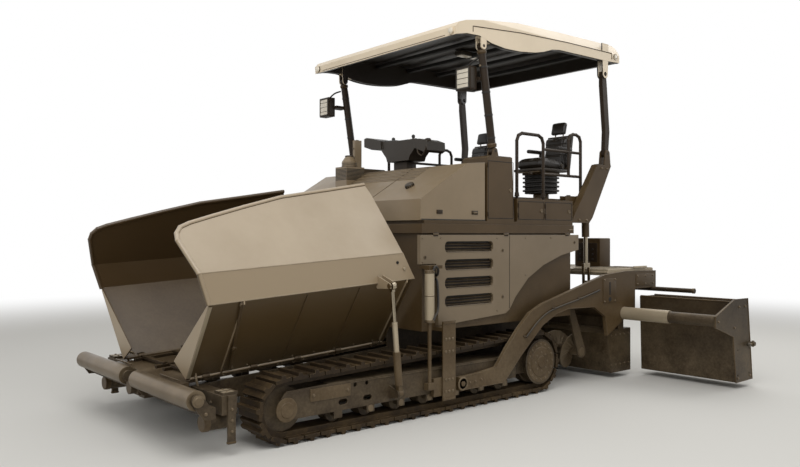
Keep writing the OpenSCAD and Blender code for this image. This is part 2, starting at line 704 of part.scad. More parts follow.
// Hydraulic extensions, with a bolt pattern in the end plate for further extensions
bolt_mid = [-3325, 270];
bolt_dx = 250;
bolt_dz = 260;
bolt_r = 9;
module screed_extension(s) {
    color(mid_brown) placed() sided(s) {
        across(screed_half - 20, screed_half) difference() {
            polygon([[-3160, screed_z + 10], [-3520, screed_z + 10], [-3420, 930], [-3130, 930],
                [-2730, 780], [-2730, 670], [-3100, 550]]);
            for (x = [-1, 1], z = [-1, 1]) translate(bolt_mid + [x * bolt_dx / 2, z * bolt_dz / 2]) circle(r = bolt_r);
        }
        difference() {
            across(1300, screed_half - 20) polygon([[-3160, screed_z + 10], [-3500, screed_z + 10],
                [-3420, 900], [-3130, 900]]);
            across(1330, screed_half - 50) polygon([[-3170, 400], [-3450, 400], [-3400, 901], [-3150, 901]]);
        }
        rod_y(guide_x, guide_z, guide_r - 2 * guide_wall - 2 * slide, 1320, screed_half - 20);
        rod_y(-3460, 450, 22, screed_half - 1, screed_half + 60);
        rod_y(-3460, 450, 34, screed_half + 30, screed_half + 42);
    }
}
module guide_tube(s) {
    color(steel) placed() sided(s) difference() {
        rod_y(guide_x, guide_z, guide_r - guide_wall - slide, 720, 1820);
        rod_y(guide_x, guide_z, guide_r - 2 * guide_wall - slide, 719, 1821);
    }
}

// Screed lift cylinders, whose rods end in a slotted link that lets the screed float
lift_y = 1020;
lift_top = [-2480, 1990];
lift_pin = [-2500, 1080];
lift_len = norm(lift_pin - lift_top);
slot_h = 165;
slot_half = 41;
link_wall = 16;
lift_bore = 15;
lift_r = 23;
module lift_frame() {
    d = lift_pin - lift_top;
    translate([lift_top[0], 0, lift_top[1]]) rotate([0, 180 + atan2(d[0], d[1]) , 0]) mirror([0, 0, 1]) children();
}
module lift_barrels() {
    color(dark) placed() both() lift_frame() {
        difference() {
            rod_z(0, lift_y, 42, 52, 415);
            rod_z(0, lift_y, lift_r + slide, 64, 416);
        }
        difference() {
            union() {
                rod_y(0, 0, 34, lift_y - 20, lift_y + 20);
                block([-20, lift_y - 20, 0], [20, lift_y + 20, 53]);
            }
            rod_y(0, 0, lift_bore, lift_y - 21, lift_y + 21);
        }
    }
}
module lift_rods() {
    color(steel) placed() both() lift_frame() {
        rod_z(0, lift_y, lift_r, 346, lift_len - slot_h - 20);
        difference() {
            block([-slot_half - link_wall, lift_y - 14, lift_len - slot_h - 40],
                [slot_half + link_wall, lift_y + 14, lift_len + 80]);
            block([-slot_half, lift_y - 15, lift_len - slot_h + 10], [slot_half, lift_y + 15, lift_len + 58]);
        }
    }
}

// Operator seats and console
seat_x = -2230;
seat_y = 600;
module seat(s) {
    color(dark) placed() sided(s) translate([seat_x, seat_y, 0]) {
        upward(2330, 2440) translate([-240, -225]) rounded(500, 450, 70);
        across(-190, 190) polygon([[-180, 2400], [-230, 2335], [-280, 2380], [-340, 2740], [-265, 2755]]);
        across(-110, 110) polygon([[-275, 2745], [-335, 2738], [-375, 2890], [-350, 2915], [-310, 2905]]);
        for (y = [-212, 212]) across(y - 24, y + 24) polygon([[-290, 2540], [-20, 2550], [-10, 2590], [-280, 2590]]);
        for (z = [2060, 2120, 2180, 2240]) upward(z, z + 44) translate([-150, -150]) rounded(300, 300, 40);
        upward(2290, 2331) translate([-200, -190]) rounded(420, 380, 40);
        rod_z(0, 0, 90, platform_z + slide, 2291);
    }
}
module console() {
    color(dark) placed() {
        along(-1070, -820) polygon([[-560, 2655], [-300, 2645], [20, 2630], [60, 2560], [-60, 2450], [-80, 2400],
            [-440, 2400], [-460, 2460], [-540, 2540]]);
        along(-1090, -800) polygon([[-840, 2715], [-790, 2725], [-540, 2665], [-520, 2560], [-700, 2565],
            [-840, 2610]]);
        along(-1080, -810) polygon([[0, 2640], [120, 2630], [235, 2590], [240, 2490], [190, 2470], [20, 2530]]);
        for (y = [-460, -120]) rod_z(-930, y, 11, 2600, 2700);
        block([-990, -380, platform_z + 60 + slide], [-870, -160, 2401]);
    }
}

// Roof with its folding posts
front_base = [-870, 2410];
front_top = [-710, 3400];
rear_base = [-2720, 2510];
rear_top = [-2680, 3400];
eye_r = 34;
rear_pin = 11;
rear_bore = 24;
module eye_y(p) {
    rod_y(p[0], p[1], eye_r, post_y - lug_in + slide, post_y + lug_in - slide);
}
module pin_y(p, r) {
    rod_y(p[0], p[1], r, post_y - lug_in - lug_t, post_y + lug_in + lug_t);
}
// Point at distance d from a towards b
function toward(a, b, d) = a + (b - a) * d / norm(b - a);
module post_bar(a, b, r) {
    bar([a[0], post_y, a[1]], [b[0], post_y, b[1]], r);
}
// Pair of lugs, each from a foot of half width w at height z to a ring round p with a bore
module lugs(p, w, z, ring, bore) {
    for (y = [post_y - lug_in - lug_t, post_y + lug_in]) across(y, y + lug_t) translate(p) difference() {
        union() {
            polygon([[-w, z - p[1]], [w, z - p[1]], [ring, 0], [-ring, 0]]);
            circle(r = ring);
        }
        circle(r = bore);
    }
}
module roof_front_posts() {
    color(dark) placed() {
        both() {
            eye_y(front_base);
            eye_y(front_top);
            pin_y(front_base, pin_r);
            pin_y(front_top, pin_r);
            post_bar(toward(front_base, front_top, 50), toward(front_top, front_base, 50), post_r);
            post_bar(front_base, front_top, lug_in - 2);
        }
        block([-765, 1000, 3080], [-689, 1100, 3110]);
        block([-690, 880, 2990], [-600, 1070, 3210]);
        block([-765, -1240, 3085], [-620, -1120, 3115]);
        block([-625, -1345, 2990], [-535, -1165, 3210]);
    }
}
module roof_rear_posts() {
    color(dark) placed() both() {
        eye_y(rear_base);
        eye_y(rear_top);
        pin_y(rear_base, pin_r);
        pin_y(rear_top, rear_pin);
        across(post_y - lug_in + slide, post_y + lug_in - slide) polygon([rear_base - [eye_r, 0], rear_base + [eye_r, 0],
            rear_base + [20, 250], rear_top + [eye_r, -130], rear_top + [eye_r, 0], rear_top - [eye_r, 0],
            rear_top - [52, 150], rear_base + [-60, 250]]);
    }
}
module roof() {
    w = roof_half + 20;
    color(tan_paint) placed() {
        difference() {
            intersection() {
                across(-w, w) polygon([[-340, 3450], [-335, 3525], [-375, 3570], [-470, 3602], [-710, 3645],
                    [-1240, 3718], [-1930, 3745], [-2550, 3757], [-2890, 3760], [-2940, 3735], [-2950, 3680],
                    [-2950, 3560], [-2730, 3550], [-1860, 3540], [-1740, 3525], [-1600, 3480], [-1460, 3450],
                    [-1230, 3425], [-1010, 3420], [-820, 3440], [-650, 3485], [-480, 3480]]);
                along(-3000, -300) polygon([[-w, 3300], [w, 3300], [w, 3640], [w - 25, 3690], [w - 90, 3800],
                    [-w + 90, 3800], [-w + 25, 3690], [-w, 3640]]);
            }
            across(-w + 2 * roof_t, w - 2 * roof_t) polygon([[-390, 3300], [-400, 3520], [-440, 3575 - roof_t],
                [-710, 3645 - roof_t], [-1240, 3718 - roof_t], [-1930, 3745 - roof_t], [-2870, 3757 - roof_t],
                [-2900, 3720 - roof_t], [-2900, 3300]]);
        }
        both() {
            lugs(front_top, 50, 3630, eye_r, pin_r + slide);
            lugs(rear_top, 60, 3740, 46, rear_bore);
            rod_x(1085, 3492, 36, -352, -326);
            rod_y(-2870, 3620, 36, w - 12, w + 8);
        }
    }
}

main_frame();
housing();
engine_block();
hood();
deck();
side_panel(1);  // side_panel_left
side_panel(-1);  // side_panel_right
track(1);  // track_left
track(-1);  // track_right
track_frame(1);  // track_frame_left
track_frame(-1);  // track_frame_right
ram_bracket(1);  // ram_bracket_left
ram_bracket(-1);  // ram_bracket_right
hopper_floor();
slat_conveyors();
front_bumper();
tow_guide(1);  // tow_guide_left
tow_guide(-1);  // tow_guide_right
railings();
rear_bracket_posts();
auger_carrier();
wing(1);  // wing_left
wing(-1);  // wing_right
wing_barrel(1);  // wing_barrel_left
wing_barrel(-1);  // wing_barrel_right
wing_sleeve(1);  // wing_sleeve_left
wing_sleeve(-1);  // wing_sleeve_right
wing_rod(1);  // wing_rod_left
wing_rod(-1);  // wing_rod_right
push_beam();
push_roller(1);  // push_roller_left
push_roller(-1);  // push_roller_right
auger(1);  // auger_left
auger(-1);  // auger_right
tow_head(1);  // tow_head_left
tow_head(-1);  // tow_head_right
tow_arms();
basic_screed();
screed_walkway();
screed_extension(1);  // screed_extension_left
screed_extension(-1);  // screed_extension_right
guide_tube(1);  // guide_tube_left
guide_tube(-1);  // guide_tube_right
lift_barrels();
lift_rods();
seat(1);  // seat_left
seat(-1);  // seat_right
console();
roof_front_posts();
roof();
roof_rear_posts();
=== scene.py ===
import bpy
import bmesh
import json
import math
from mathutils import Vector, Matrix


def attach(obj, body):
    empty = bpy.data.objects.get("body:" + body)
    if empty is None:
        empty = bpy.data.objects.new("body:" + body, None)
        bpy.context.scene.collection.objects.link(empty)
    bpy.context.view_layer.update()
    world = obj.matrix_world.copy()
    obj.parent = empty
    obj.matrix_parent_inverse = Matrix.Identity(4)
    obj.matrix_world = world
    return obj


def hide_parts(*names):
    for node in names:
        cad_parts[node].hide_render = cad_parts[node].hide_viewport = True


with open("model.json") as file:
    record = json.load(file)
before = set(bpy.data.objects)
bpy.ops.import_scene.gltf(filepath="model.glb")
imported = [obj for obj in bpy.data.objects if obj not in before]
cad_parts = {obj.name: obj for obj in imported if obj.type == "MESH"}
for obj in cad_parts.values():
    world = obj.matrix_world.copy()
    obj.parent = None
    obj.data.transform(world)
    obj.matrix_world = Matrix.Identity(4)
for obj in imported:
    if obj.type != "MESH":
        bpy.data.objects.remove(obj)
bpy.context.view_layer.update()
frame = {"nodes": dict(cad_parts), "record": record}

print("frame loaded,", len(frame["nodes"]), "nodes")

scene = bpy.context.scene
scene.view_settings.view_transform = "Standard"
deg = math.radians
midX = 0.62  # the source measures from the middle of the track contact
sides = (("left", 1), ("right", -1))
up, ahead, back = (0, 0, 1), (1, 0, 0), (-1, 0, 0)
white = (1, 1, 1, 1)


# camera, floor and light
cameraLook = {"place": (5.206, 6.132, 1.600), "yaw": 229.57, "pitch": 0.10, "lens": 34.2}

cam = bpy.data.cameras.new("camera")
cam.lens = cameraLook["lens"]
cam.sensor_width = 36
cam.clip_end = 400
camera = bpy.data.objects.new("camera", cam)
camera.location = cameraLook["place"]
camera.rotation_euler = (deg(90 + cameraLook["pitch"]), 0, deg(cameraLook["yaw"] - 90))
scene.collection.objects.link(camera)
scene.camera = camera


def tone(r, g, b):  # a colour given 0 to 255, as the linear value a shader wants
    return tuple(((c / 255) / 12.92 if c < 10 else ((c / 255 + 0.055) / 1.055) ** 2.4) for c in (r, g, b)) + (1,)


def addNode(tree, kind, feed=None, **values):  # a short kind is a shader node, feed gives inputs a value or a link
    node = tree.nodes.new(kind if "Node" in kind else "ShaderNode" + kind)
    column, row = len(tree.nodes) % 6, len(tree.nodes) // 6
    node.location = (240 * column, -260 * row)
    for key, value in values.items():
        setattr(node, key, value)
    for socket, value in (feed or {}).items():
        if isinstance(value, bpy.types.NodeSocket):
            tree.links.new(value, node.inputs[socket])
        else:
            node.inputs[socket].default_value = value
    return node


def math2(tree, kind, a, b=None, clamp=False):
    feed = {0: a} if b is None else {0: a, 1: b}
    return addNode(tree, "Math", feed, operation=kind, use_clamp=clamp).outputs[0]


def emptyMaterial(name):
    material = bpy.data.materials.new(name)
    material.use_nodes = True
    material.node_tree.nodes.clear()
    return material, material.node_tree


studioLook = {"floor": (214, 212, 206), "floorSize": 240, "sky": 0.5, "fadeFrom": 7.0, "fadeTo": 15.0,
              "lights": (("keyLight", (3.5, 4.5, 7.5), 6, 330), ("fillLight", (7.5, -1.0, 4.0), 5, 60),
                         ("rimLight", (-6.0, 1.0, 6.5), 6, 190))}
lightsAimAt = Vector((0, 0, 1))


def buildStudio():
    world = bpy.data.worlds.new("studio")
    world.use_nodes = True
    tree = world.node_tree
    tree.nodes.clear()
    path = addNode(tree, "LightPath").outputs
    seen = math2(tree, "MAXIMUM", path["Is Camera Ray"], path["Is Glossy Ray"])
    seen = math2(tree, "MAXIMUM", seen, path["Is Transmission Ray"])
    soft = addNode(tree, "Background", {"Color": white, "Strength": studioLook["sky"]})
    plain = addNode(tree, "Background", {"Color": white, "Strength": 1})
    mix = addNode(tree, "MixShader", {0: seen, 1: soft.outputs[0], 2: plain.outputs[0]})
    addNode(tree, "OutputWorld", {0: mix.outputs[0]})
    scene.world = world

    bpy.ops.mesh.primitive_plane_add(size=studioLook["floorSize"], location=(0, 0, 0))
    floor = bpy.context.object
    floor.name = "studioFloor"
    material, tree = emptyMaterial("studioFloor")
    coords = addNode(tree, "TexCoord")
    far = addNode(tree, "VectorMath", {0: coords.outputs["Object"]}, operation="LENGTH")
    fade = addNode(tree, "MapRange",
                   {"From Min": studioLook["fadeFrom"], "From Max": studioLook["fadeTo"],
                    "Value": far.outputs["Value"]}, interpolation_type="SMOOTHSTEP")
    path = addNode(tree, "LightPath")
    both = math2(tree, "MULTIPLY", fade.outputs["Result"], path.outputs["Is Camera Ray"])
    body = addNode(tree, "BsdfPrincipled",
                   {"Base Color": tone(*studioLook["floor"]), "Roughness": 0.9})
    glow = addNode(tree, "Emission", {"Color": white})
    mix = addNode(tree, "MixShader", {0: both, 1: body.outputs[0], 2: glow.outputs[0]})
    addNode(tree, "OutputMaterial", {0: mix.outputs[0]})
    floor.data.materials.append(material)

    for name, place, size, power in studioLook["lights"]:
        light = bpy.data.lights.new(name, "AREA")
        light.size = size
        light.energy = power
        lamp = bpy.data.objects.new(name, light)
        lamp.location = place
        lamp.rotation_euler = (lightsAimAt - Vector(place)).to_track_quat("-Z", "Y").to_euler()
        scene.collection.objects.link(lamp)


buildStudio()
print("studio ready")


# shader groups that several finishes share
def newGroup(name, inputs, outputs, kind="ShaderNodeTree", result="Float"):  # an input is a value or a type
    group = bpy.data.node_groups.new(name, kind)
    for label, value in inputs.items():
        form = value if isinstance(value, str) else type(value).__name__.capitalize()
        socket = group.interface.new_socket(label, in_out="INPUT", socket_type="NodeSocket" + form)
        if form != value:
            socket.default_value = value
    for label in outputs:
        group.interface.new_socket(label, in_out="OUTPUT", socket_type="NodeSocket" + result)
    return group, addNode(group, "NodeGroupInput").outputs, addNode(group, "NodeGroupOutput").inputs


def objectCoords(tree):
    return addNode(tree, "TexCoord").outputs["Object"]


def heightOf(tree, vector):
    return addNode(tree, "SeparateXYZ", {0: vector}).outputs["Z"]


def noiseAt(tree, scale, detail, rough):
    feed = {"Detail": detail, "Roughness": rough, "Scale": scale, "Vector": objectCoords(tree)}
    return addNode(tree, "TexNoise", feed).outputs["Fac"]


def ramp(tree, value, low, high, outLow=0.0, outHigh=1.0):
    feed = {"From Min": low, "From Max": high, "To Min": outLow, "To Max": outHigh, "Value": value}
    return addNode(tree, "MapRange", feed).outputs["Result"]


def edgeWearGroup():
    group, given, out = newGroup("edgeWear", {"Radius": 0.004, "Amount": 1.0, "Scale": 14.0}, ["Mask"])
    bevel = addNode(group, "Bevel", {"Radius": given["Radius"]}, samples=4)
    shape = addNode(group, "NewGeometry")
    dot = addNode(group, "VectorMath", {0: bevel.outputs[0], 1: shape.outputs["Normal"]},
                  operation="DOT_PRODUCT")
    edge = ramp(group, dot.outputs["Value"], 0.985, 0.86)
    patch = ramp(group, noiseAt(group, given["Scale"], 5, 0.65), 0.42, 0.62)
    worn = math2(group, "MULTIPLY", edge, patch)
    group.links.new(math2(group, "MULTIPLY", worn, given["Amount"], True), out["Mask"])
    return group


def roadDustGroup():  # dust settles on faces that lie flat and low on the machine
    group, given, out = newGroup("roadDust", {"Amount": 0.5, "Reach": 1.2, "Scale": 3.0}, ["Mask"])
    shape = addNode(group, "NewGeometry")
    lying = ramp(group, heightOf(group, shape.outputs["Normal"]), 0.25, 0.95)
    low = math2(group, "DIVIDE", heightOf(group, objectCoords(group)), given["Reach"])
    low = math2(group, "SUBTRACT", 1.0, low, True)
    cloud = ramp(group, noiseAt(group, given["Scale"], 6, 0.62), 0.36, 0.66)
    speck = ramp(group, noiseAt(group, 38.0, 4, 0.7), 0.4, 0.7)
    mix = math2(group, "ADD", math2(group, "MULTIPLY", lying, 0.75), low, True)
    grain = math2(group, "ADD", math2(group, "MULTIPLY", cloud, 0.7),
                  math2(group, "MULTIPLY", speck, 0.4), True)
    both = math2(group, "MULTIPLY", mix, grain)
    group.links.new(math2(group, "MULTIPLY", both, given["Amount"], True), out["Mask"])
    return group


def surfaceGrainGroup():
    group, given, out = newGroup("surfaceGrain", {"Scale": 60.0, "Coarse": 0.4}, ["Height", "Tint"])
    fine = noiseAt(group, given["Scale"], 4, 0.6)
    broad = noiseAt(group, 2.2, 4, 0.55)
    lump = math2(group, "MULTIPLY", noiseAt(group, 11.0, 3, 0.5), given["Coarse"])
    group.links.new(math2(group, "ADD", fine, lump), out["Height"])
    group.links.new(ramp(group, broad, 0.3, 0.7), out["Tint"])
    return group


def facingGroup():  # masks for painted shade: faces that look towards Centre, faces that hang and faces that stand
    group, given, out = newGroup("paintedShadeMasks", {"Centre": "Vector", "Weight": "Vector"}, ["InnerShade", "HangShade", "BandShade"])
    coords = addNode(group, "TexCoord").outputs
    away = addNode(group, "VectorMath", {0: coords["Object"], 1: given["Centre"]},
                   operation="SUBTRACT")
    heavy = addNode(group, "VectorMath", {0: away.outputs[0], 1: given["Weight"]},
                    operation="MULTIPLY")
    dot = addNode(group, "VectorMath", {0: coords["Normal"], 1: heavy.outputs[0]},
                  operation="DOT_PRODUCT")
    tall = heightOf(group, coords["Normal"])
    group.links.new(ramp(group, dot.outputs["Value"], -0.02, -0.05), out["InnerShade"])
    group.links.new(ramp(group, tall, -0.15, -0.3), out["HangShade"])
    group.links.new(ramp(group, tall, 0.4, 0.2), out["BandShade"])
    return group


def treadGroup():  # raised oval studs in turns of a quarter, as on tread plate
    group, given, out = newGroup("tread", {"Scale": 22.0}, ["Height"])
    split = addNode(group, "SeparateXYZ", {0: objectCoords(group)}).outputs
    waves = []
    for sign in (1, -1):
        slope = math2(group, "ADD", split["X"], math2(group, "MULTIPLY", split["Y"], sign))
        turns = math2(group, "MULTIPLY", math2(group, "MULTIPLY", slope, 6.2832), given["Scale"])
        waves.append(math2(group, "SINE", turns))
    product = math2(group, "ABSOLUTE", math2(group, "MULTIPLY", *waves))
    group.links.new(ramp(group, product, 0.45, 0.7), out["Height"])
    return group


edgeWear = edgeWearGroup()
paintedShadeMasks = facingGroup()
tread = treadGroup()
roadDust = roadDustGroup()
surfaceGrain = surfaceGrainGroup()


def placeGroup(tree, group, **feed):
    return addNode(tree, "Group", feed, node_tree=group).outputs


def mixColours(tree, a, b, mask):
    return addNode(tree, "Mix", {6: a, 7: b, 0: mask}, data_type="RGBA").outputs[2]


def bumpOn(tree, strength, distance, height, under):
    feed = {"Strength": strength, "Distance": distance, "Height": height, "Normal": under}
    return addNode(tree, "Bump", feed).outputs[0]


def makeFinish(name, colour, shade, dust=(150, 132, 104), worn=(96, 84, 66), rough=0.45, metal=0.0, dustAmount=0.5,
               wearAmount=0.8, reach=1.2, grain=70.0, coarse=0.4, bump=0.12, wearRadius=0.004, coat=0.0, depth=0.002,
               innerShade=None, low=None, bandShade=None, centre=(0, 0, 0), weight=(1, 1, 1), studs=0.0, soften=0.005,
               gloss=0.5):
    material, tree = emptyMaterial(name)
    wear = placeGroup(tree, edgeWear, Radius=wearRadius, Amount=wearAmount)["Mask"]
    dusty = placeGroup(tree, roadDust, Amount=dustAmount, Reach=reach)["Mask"]
    skin = placeGroup(tree, surfaceGrain, Scale=grain, Coarse=coarse)
    base = mixColours(tree, tone(*colour), tone(*shade), skin["Tint"])
    # painted shade: faces that look inward, faces that hang and faces that stand are mixed towards darker colours
    if innerShade:
        looks = placeGroup(tree, paintedShadeMasks, Centre=centre, Weight=weight)
        for label, paint in (("BandShade", bandShade), ("HangShade", low), ("InnerShade", innerShade)):
            if paint:
                base = mixColours(tree, base, tone(*paint), looks[label])
    base = mixColours(tree, base, tone(*worn), wear)
    base = mixColours(tree, base, tone(*dust), dusty)
    roughness = ramp(tree, skin["Tint"], 0, 1, rough - 0.05, rough + 0.07)
    roughness = math2(tree, "ADD", roughness, math2(tree, "MULTIPLY", dusty, 0.4), True)
    rounding = addNode(tree, "Bevel", {"Radius": soften}, samples=4)
    normal = bumpOn(tree, bump, depth, skin["Height"], rounding.outputs[0])
    if studs:
        normal = bumpOn(tree, 0.8, 0.004, placeGroup(tree, tread, Scale=studs)["Height"], normal)
    body = addNode(tree, "BsdfPrincipled",
                   {"Base Color": base, "Roughness": roughness, "Metallic": metal, "Specular IOR Level": gloss,
                    "Coat Weight": coat, "Coat Roughness": 0.2, "Normal": normal})
    addNode(tree, "OutputMaterial", {0: body.outputs[0]})
    return material


def wingFaces(side):  # painted shade: a wing's faces towards the hopper, below the fold and in the top band are painted darker
    return dict(rough=0.36, dustAmount=0.35, coat=0.2, reach=0.9, innerShade=(72, 55, 32), low=(80, 63, 37),
                bandShade=(156, 138, 112), centre=(0, side * 0.02, 0), weight=(0, 1, 0))


finishLook = {
    "wingLeft": ((178, 162, 139), (168, 152, 129), wingFaces(1)),
    "wingRight": ((178, 162, 139), (168, 152, 129), wingFaces(-1)),
    "wingPaint": ((168, 152, 128), (158, 142, 118), dict(rough=0.38, dustAmount=0.35, coat=0.15)),
    # darker than the wing paint: the shade of the standing side panels is painted into it
    "panelPaintShaded": ((122, 106, 84), (112, 97, 75), dict(rough=0.42, dustAmount=0.4, coat=0.1)),
    "hoodPaint": ((132, 114, 88), (122, 105, 80), dict(rough=0.38, dustAmount=0.35, coat=0.15)),
    "framePaint": ((76, 58, 32), (64, 48, 25), dict(rough=0.46, dustAmount=0.4, wearAmount=0.6, gloss=0.35)),
    "screedPaint": ((52, 38, 18), (42, 30, 13), dict(rough=0.46, dustAmount=0.45, wearAmount=0.7, gloss=0.35,
                                                     worn=(104, 86, 58))),
    "darkPaint": ((44, 31, 14), (34, 23, 10), dict(rough=0.5, dustAmount=0.4, gloss=0.3)),
    # near-black that stands for shade: painted shade in recesses, slots, holes, gaps and under the roof
    "nightPaint": ((20, 14, 8), (14, 10, 5), dict(rough=0.7, dustAmount=0.1, wearAmount=0.1)),
    "hopperSteel": ((68, 51, 28), (50, 36, 18), dict(rough=0.36, metal=0.35, wearAmount=0.5, reach=2.0, bump=0.2)),
    "trackSteel": ((40, 28, 13), (29, 19, 8), dict(rough=0.55, metal=0.2, dustAmount=0.6, wearAmount=1.0, reach=0.7,
                                                   worn=(130, 112, 84), bump=0.35, dust=(104, 84, 54), gloss=0.3)),
    "bareSteel": ((112, 97, 76), (94, 80, 60), dict(rough=0.33, metal=0.5, dustAmount=0.35, wearAmount=0.5)),
    "lightSteel": ((176, 162, 138), (160, 146, 122), dict(rough=0.35, metal=0.3, dustAmount=0.3, wearAmount=0.3)),
    "treadPlate": ((176, 162, 138), (156, 142, 118), dict(rough=0.4, metal=0.3, dustAmount=0.4, wearAmount=0.4,
                                                          studs=18.0)),
    "chromeRod": ((176, 164, 144), (166, 154, 134), dict(rough=0.16, metal=1.0, dustAmount=0.1, wearAmount=0.0,
                                                         bump=0.03)),
    # the roof's faces that look towards its inside are near-black, painted shade under the roof
    "roofShell": ((226, 209, 182), (217, 200, 173), dict(rough=0.4, dustAmount=0.2, wearAmount=0.1, coat=0.2,
                                                         innerShade=(34, 25, 14), centre=(-1.02, 0, 3.3))),
    "castIron": ((56, 46, 32), (44, 35, 23), dict(rough=0.65, bump=0.5)),
    "rubber": ((24, 19, 13), (19, 14, 9), dict(rough=0.55, dustAmount=0.3, wearAmount=0.1, bump=0.1)),
    "blackVinyl": ((32, 25, 16), (25, 19, 12), dict(rough=0.42, dustAmount=0.12, wearAmount=0.1, grain=320.0, bump=0.4,
                                                    depth=0.0006, soften=0.001)),
    "darkPlastic": ((46, 37, 25), (40, 32, 21), dict(dustAmount=0.3, wearAmount=0.3, grain=220.0, bump=0.25,
                                                     depth=0.0006)),
    "lampLens": ((226, 216, 196), (206, 196, 176), dict(rough=0.12, dustAmount=0.15, wearAmount=0.0, grain=40.0,
                                                        bump=0.3, coat=0.8)),
    "screenGlass": ((34, 32, 26), (28, 26, 20), dict(rough=0.1, dustAmount=0.15, wearAmount=0.0, coat=0.9, bump=0.02)),
}
finishes = {name: makeFinish(name, colour, shade, **look) for name, (colour, shade, look) in finishLook.items()}
slotFinish = {"light_paint": "wingPaint", "roof_shell": "roofShell", "frame_paint": "framePaint",
              "dark_paint": "darkPaint", "bare_steel": "bareSteel", "track_steel": "trackSteel",
              "seat_vinyl": "blackVinyl", "console_plastic": "darkPlastic", "engine_iron": "castIron"}
nodeFinish = {"wing_left": "wingLeft", "wing_right": "wingRight", "side_panel": "panelPaintShaded", "hood": "hoodPaint",
              "hopper_floor": "hopperSteel", "slat_conveyors": "trackSteel", "screed_walkway": "treadPlate",
              "wing_rod": "chromeRod", "lift_rods": "chromeRod", "basic_screed": "screedPaint",
              "screed_extension": "screedPaint", "guide_tube": "lightSteel", "wing_sleeve": "lightSteel"}
print("finishes ready:", len(finishes))


def paintNodes():  # a node's own finish comes before its pair's, and that before its slot's
    for part in frame["record"]["subparts"]:
        name = part["node"]
        pairName = name.rsplit("_", 1)[0]
        finish = nodeFinish.get(name) or nodeFinish.get(pairName) or slotFinish[part["material_slot"]]
        obj = frame["nodes"][name]
        if not obj.data.materials:
            obj.data.materials.append(finishes[finish])
        for slot in obj.material_slots:
            slot.material = finishes[finish]


paintNodes()
print("nodes painted")

bodyOfNode = {node: name for name, held in frame["record"]["behaviour"]["bodies"].items() for node in held}


def bodyOf(node):
    return bodyOfNode.get(node, "root")


# pieces are drawn in millimetres from the middle of the track contact and written in metres in the shared frame
def at(x, y, z):
    return Vector((x / 1000 + midX, y / 1000, z / 1000))


def onSide(sign):  # takes a point of the left side to the side of that sign, and gives that side's outward way
    return (lambda x, y, z: (x, y * sign, z)), (0, sign, 0)


def bothSides():
    return [onSide(sign) for side, sign in sides]


def eachSide(build):
    for side, sign in sides:
        build(side, sign)


def newPiece():
    return {"mesh": bmesh.new(), "skins": []}


def joinInto(piece, mesh, skin, turn=None):
    if turn:
        bmesh.ops.transform(mesh, matrix=turn, verts=list(mesh.verts))
    bmesh.ops.recalc_face_normals(mesh, faces=list(mesh.faces))
    mesh.verts.index_update()
    if skin not in piece["skins"]:
        piece["skins"].append(skin)
    made = [piece["mesh"].verts.new(at(*vert.co)) for vert in mesh.verts]
    for face in mesh.faces:
        new = piece["mesh"].faces.new([made[vert.index] for vert in face.verts])
        new.material_index = piece["skins"].index(skin)
    mesh.free()


def roundEdges(mesh, edges, width):
    bmesh.ops.bevel(mesh, geom=edges, offset=width, segments=2, profile=0.6, affect="EDGES", clamp_overlap=True)


def slab(piece, low, high, skin, soft=4, turn=None):  # a block with rounded edges
    mesh = bmesh.new()
    bmesh.ops.create_cube(mesh, size=1)
    for vert in mesh.verts:
        vert.co = Vector([(low[i] + high[i]) / 2 + vert.co[i] * (high[i] - low[i]) for i in range(3)])
    if soft:
        roundEdges(mesh, list(mesh.edges), min([soft] + [0.45 * abs(high[i] - low[i]) for i in range(3)]))
    joinInto(piece, mesh, skin, turn)


def block(piece, corner, opposite, skin, soft=4):  # a slab between two corners in any order
    slab(piece, *[[pick(pair) for pair in zip(corner, opposite)] for pick in (min, max)], skin, soft)


def prism(piece, outline, axis, a, b, skin, soft=3):  # an outline drawn out along x or y
    mesh = bmesh.new()
    near, far = [[mesh.verts.new((depth, u, v) if axis == "x" else (u, depth, v)) for u, v in outline]
                 for depth in (a, b)]
    mesh.faces.new(near)
    mesh.faces.new(far[::-1])
    for i in range(len(outline)):
        n = (i + 1) % len(outline)
        mesh.faces.new((near[i], far[i], far[n], near[n]))
    if soft:
        edges = [e for e in mesh.edges if e.is_manifold and e.calc_face_angle(0) > 0.4]
        roundEdges(mesh, edges, min(soft, 0.4 * abs(b - a)))
    joinInto(piece, mesh, skin)


def ringOf(mesh, centre, side, other, radius, segments):
    angles = [2 * math.pi * k / segments for k in range(segments)]
    return [mesh.verts.new(centre + (side * math.cos(a) + other * math.sin(a)) * radius) for a in angles]


def lathe(piece, start, toward, profile, skin, segments=24, turn=None, bore=0):  # profile of (distance along, radius)
    if bore:
        profile = [(profile[0][0], bore)] + profile + [(profile[-1][0], bore)]
    start, toward = Vector(start), Vector(toward).normalized()
    side = toward.orthogonal().normalized()
    other = toward.cross(side)
    mesh = bmesh.new()
    rings = []
    for along, radius in profile:
        place = start + toward * along
        rings.append(ringOf(mesh, place, side, other, radius, segments) if radius else [mesh.verts.new(place)])
    for a, b in zip(rings, rings[1:] + (rings[:1] if bore else [])):
        for k in range(segments):
            n = (k + 1) % segments
            corners = [a[k % len(a)], a[n % len(a)], b[n % len(b)], b[k % len(b)]]
            corners = [c for i, c in enumerate(corners) if c not in corners[:i]]
            if len(corners) > 2:
                mesh.faces.new(corners)
    for ring in (rings[0], rings[-1]):
        if len(ring) > 2 and not bore:
            mesh.faces.new(ring)
    joinInto(piece, mesh, skin, turn)


def rod(piece, a, b, radius, skin, segments=20, soft=2, turn=None):
    along = Vector(b) - Vector(a)
    length = along.length
    soft = min(soft, radius * 0.4, length * 0.3)
    lathe(piece, a, along, [(0, radius - soft), (soft, radius), (length - soft, radius), (length, radius - soft)],
          skin, segments, turn)


def bolt(piece, place, toward, size, skin="bareSteel", turn=None):  # washer and hexagon head
    lathe(piece, place, toward, [(0, size * 1.15), (size * 0.18, size * 1.15)], skin, 12, turn)
    lathe(piece, place, toward, [(0, size), (size * 0.75, size), (size * 0.9, size * 0.8)], skin, 6, turn)


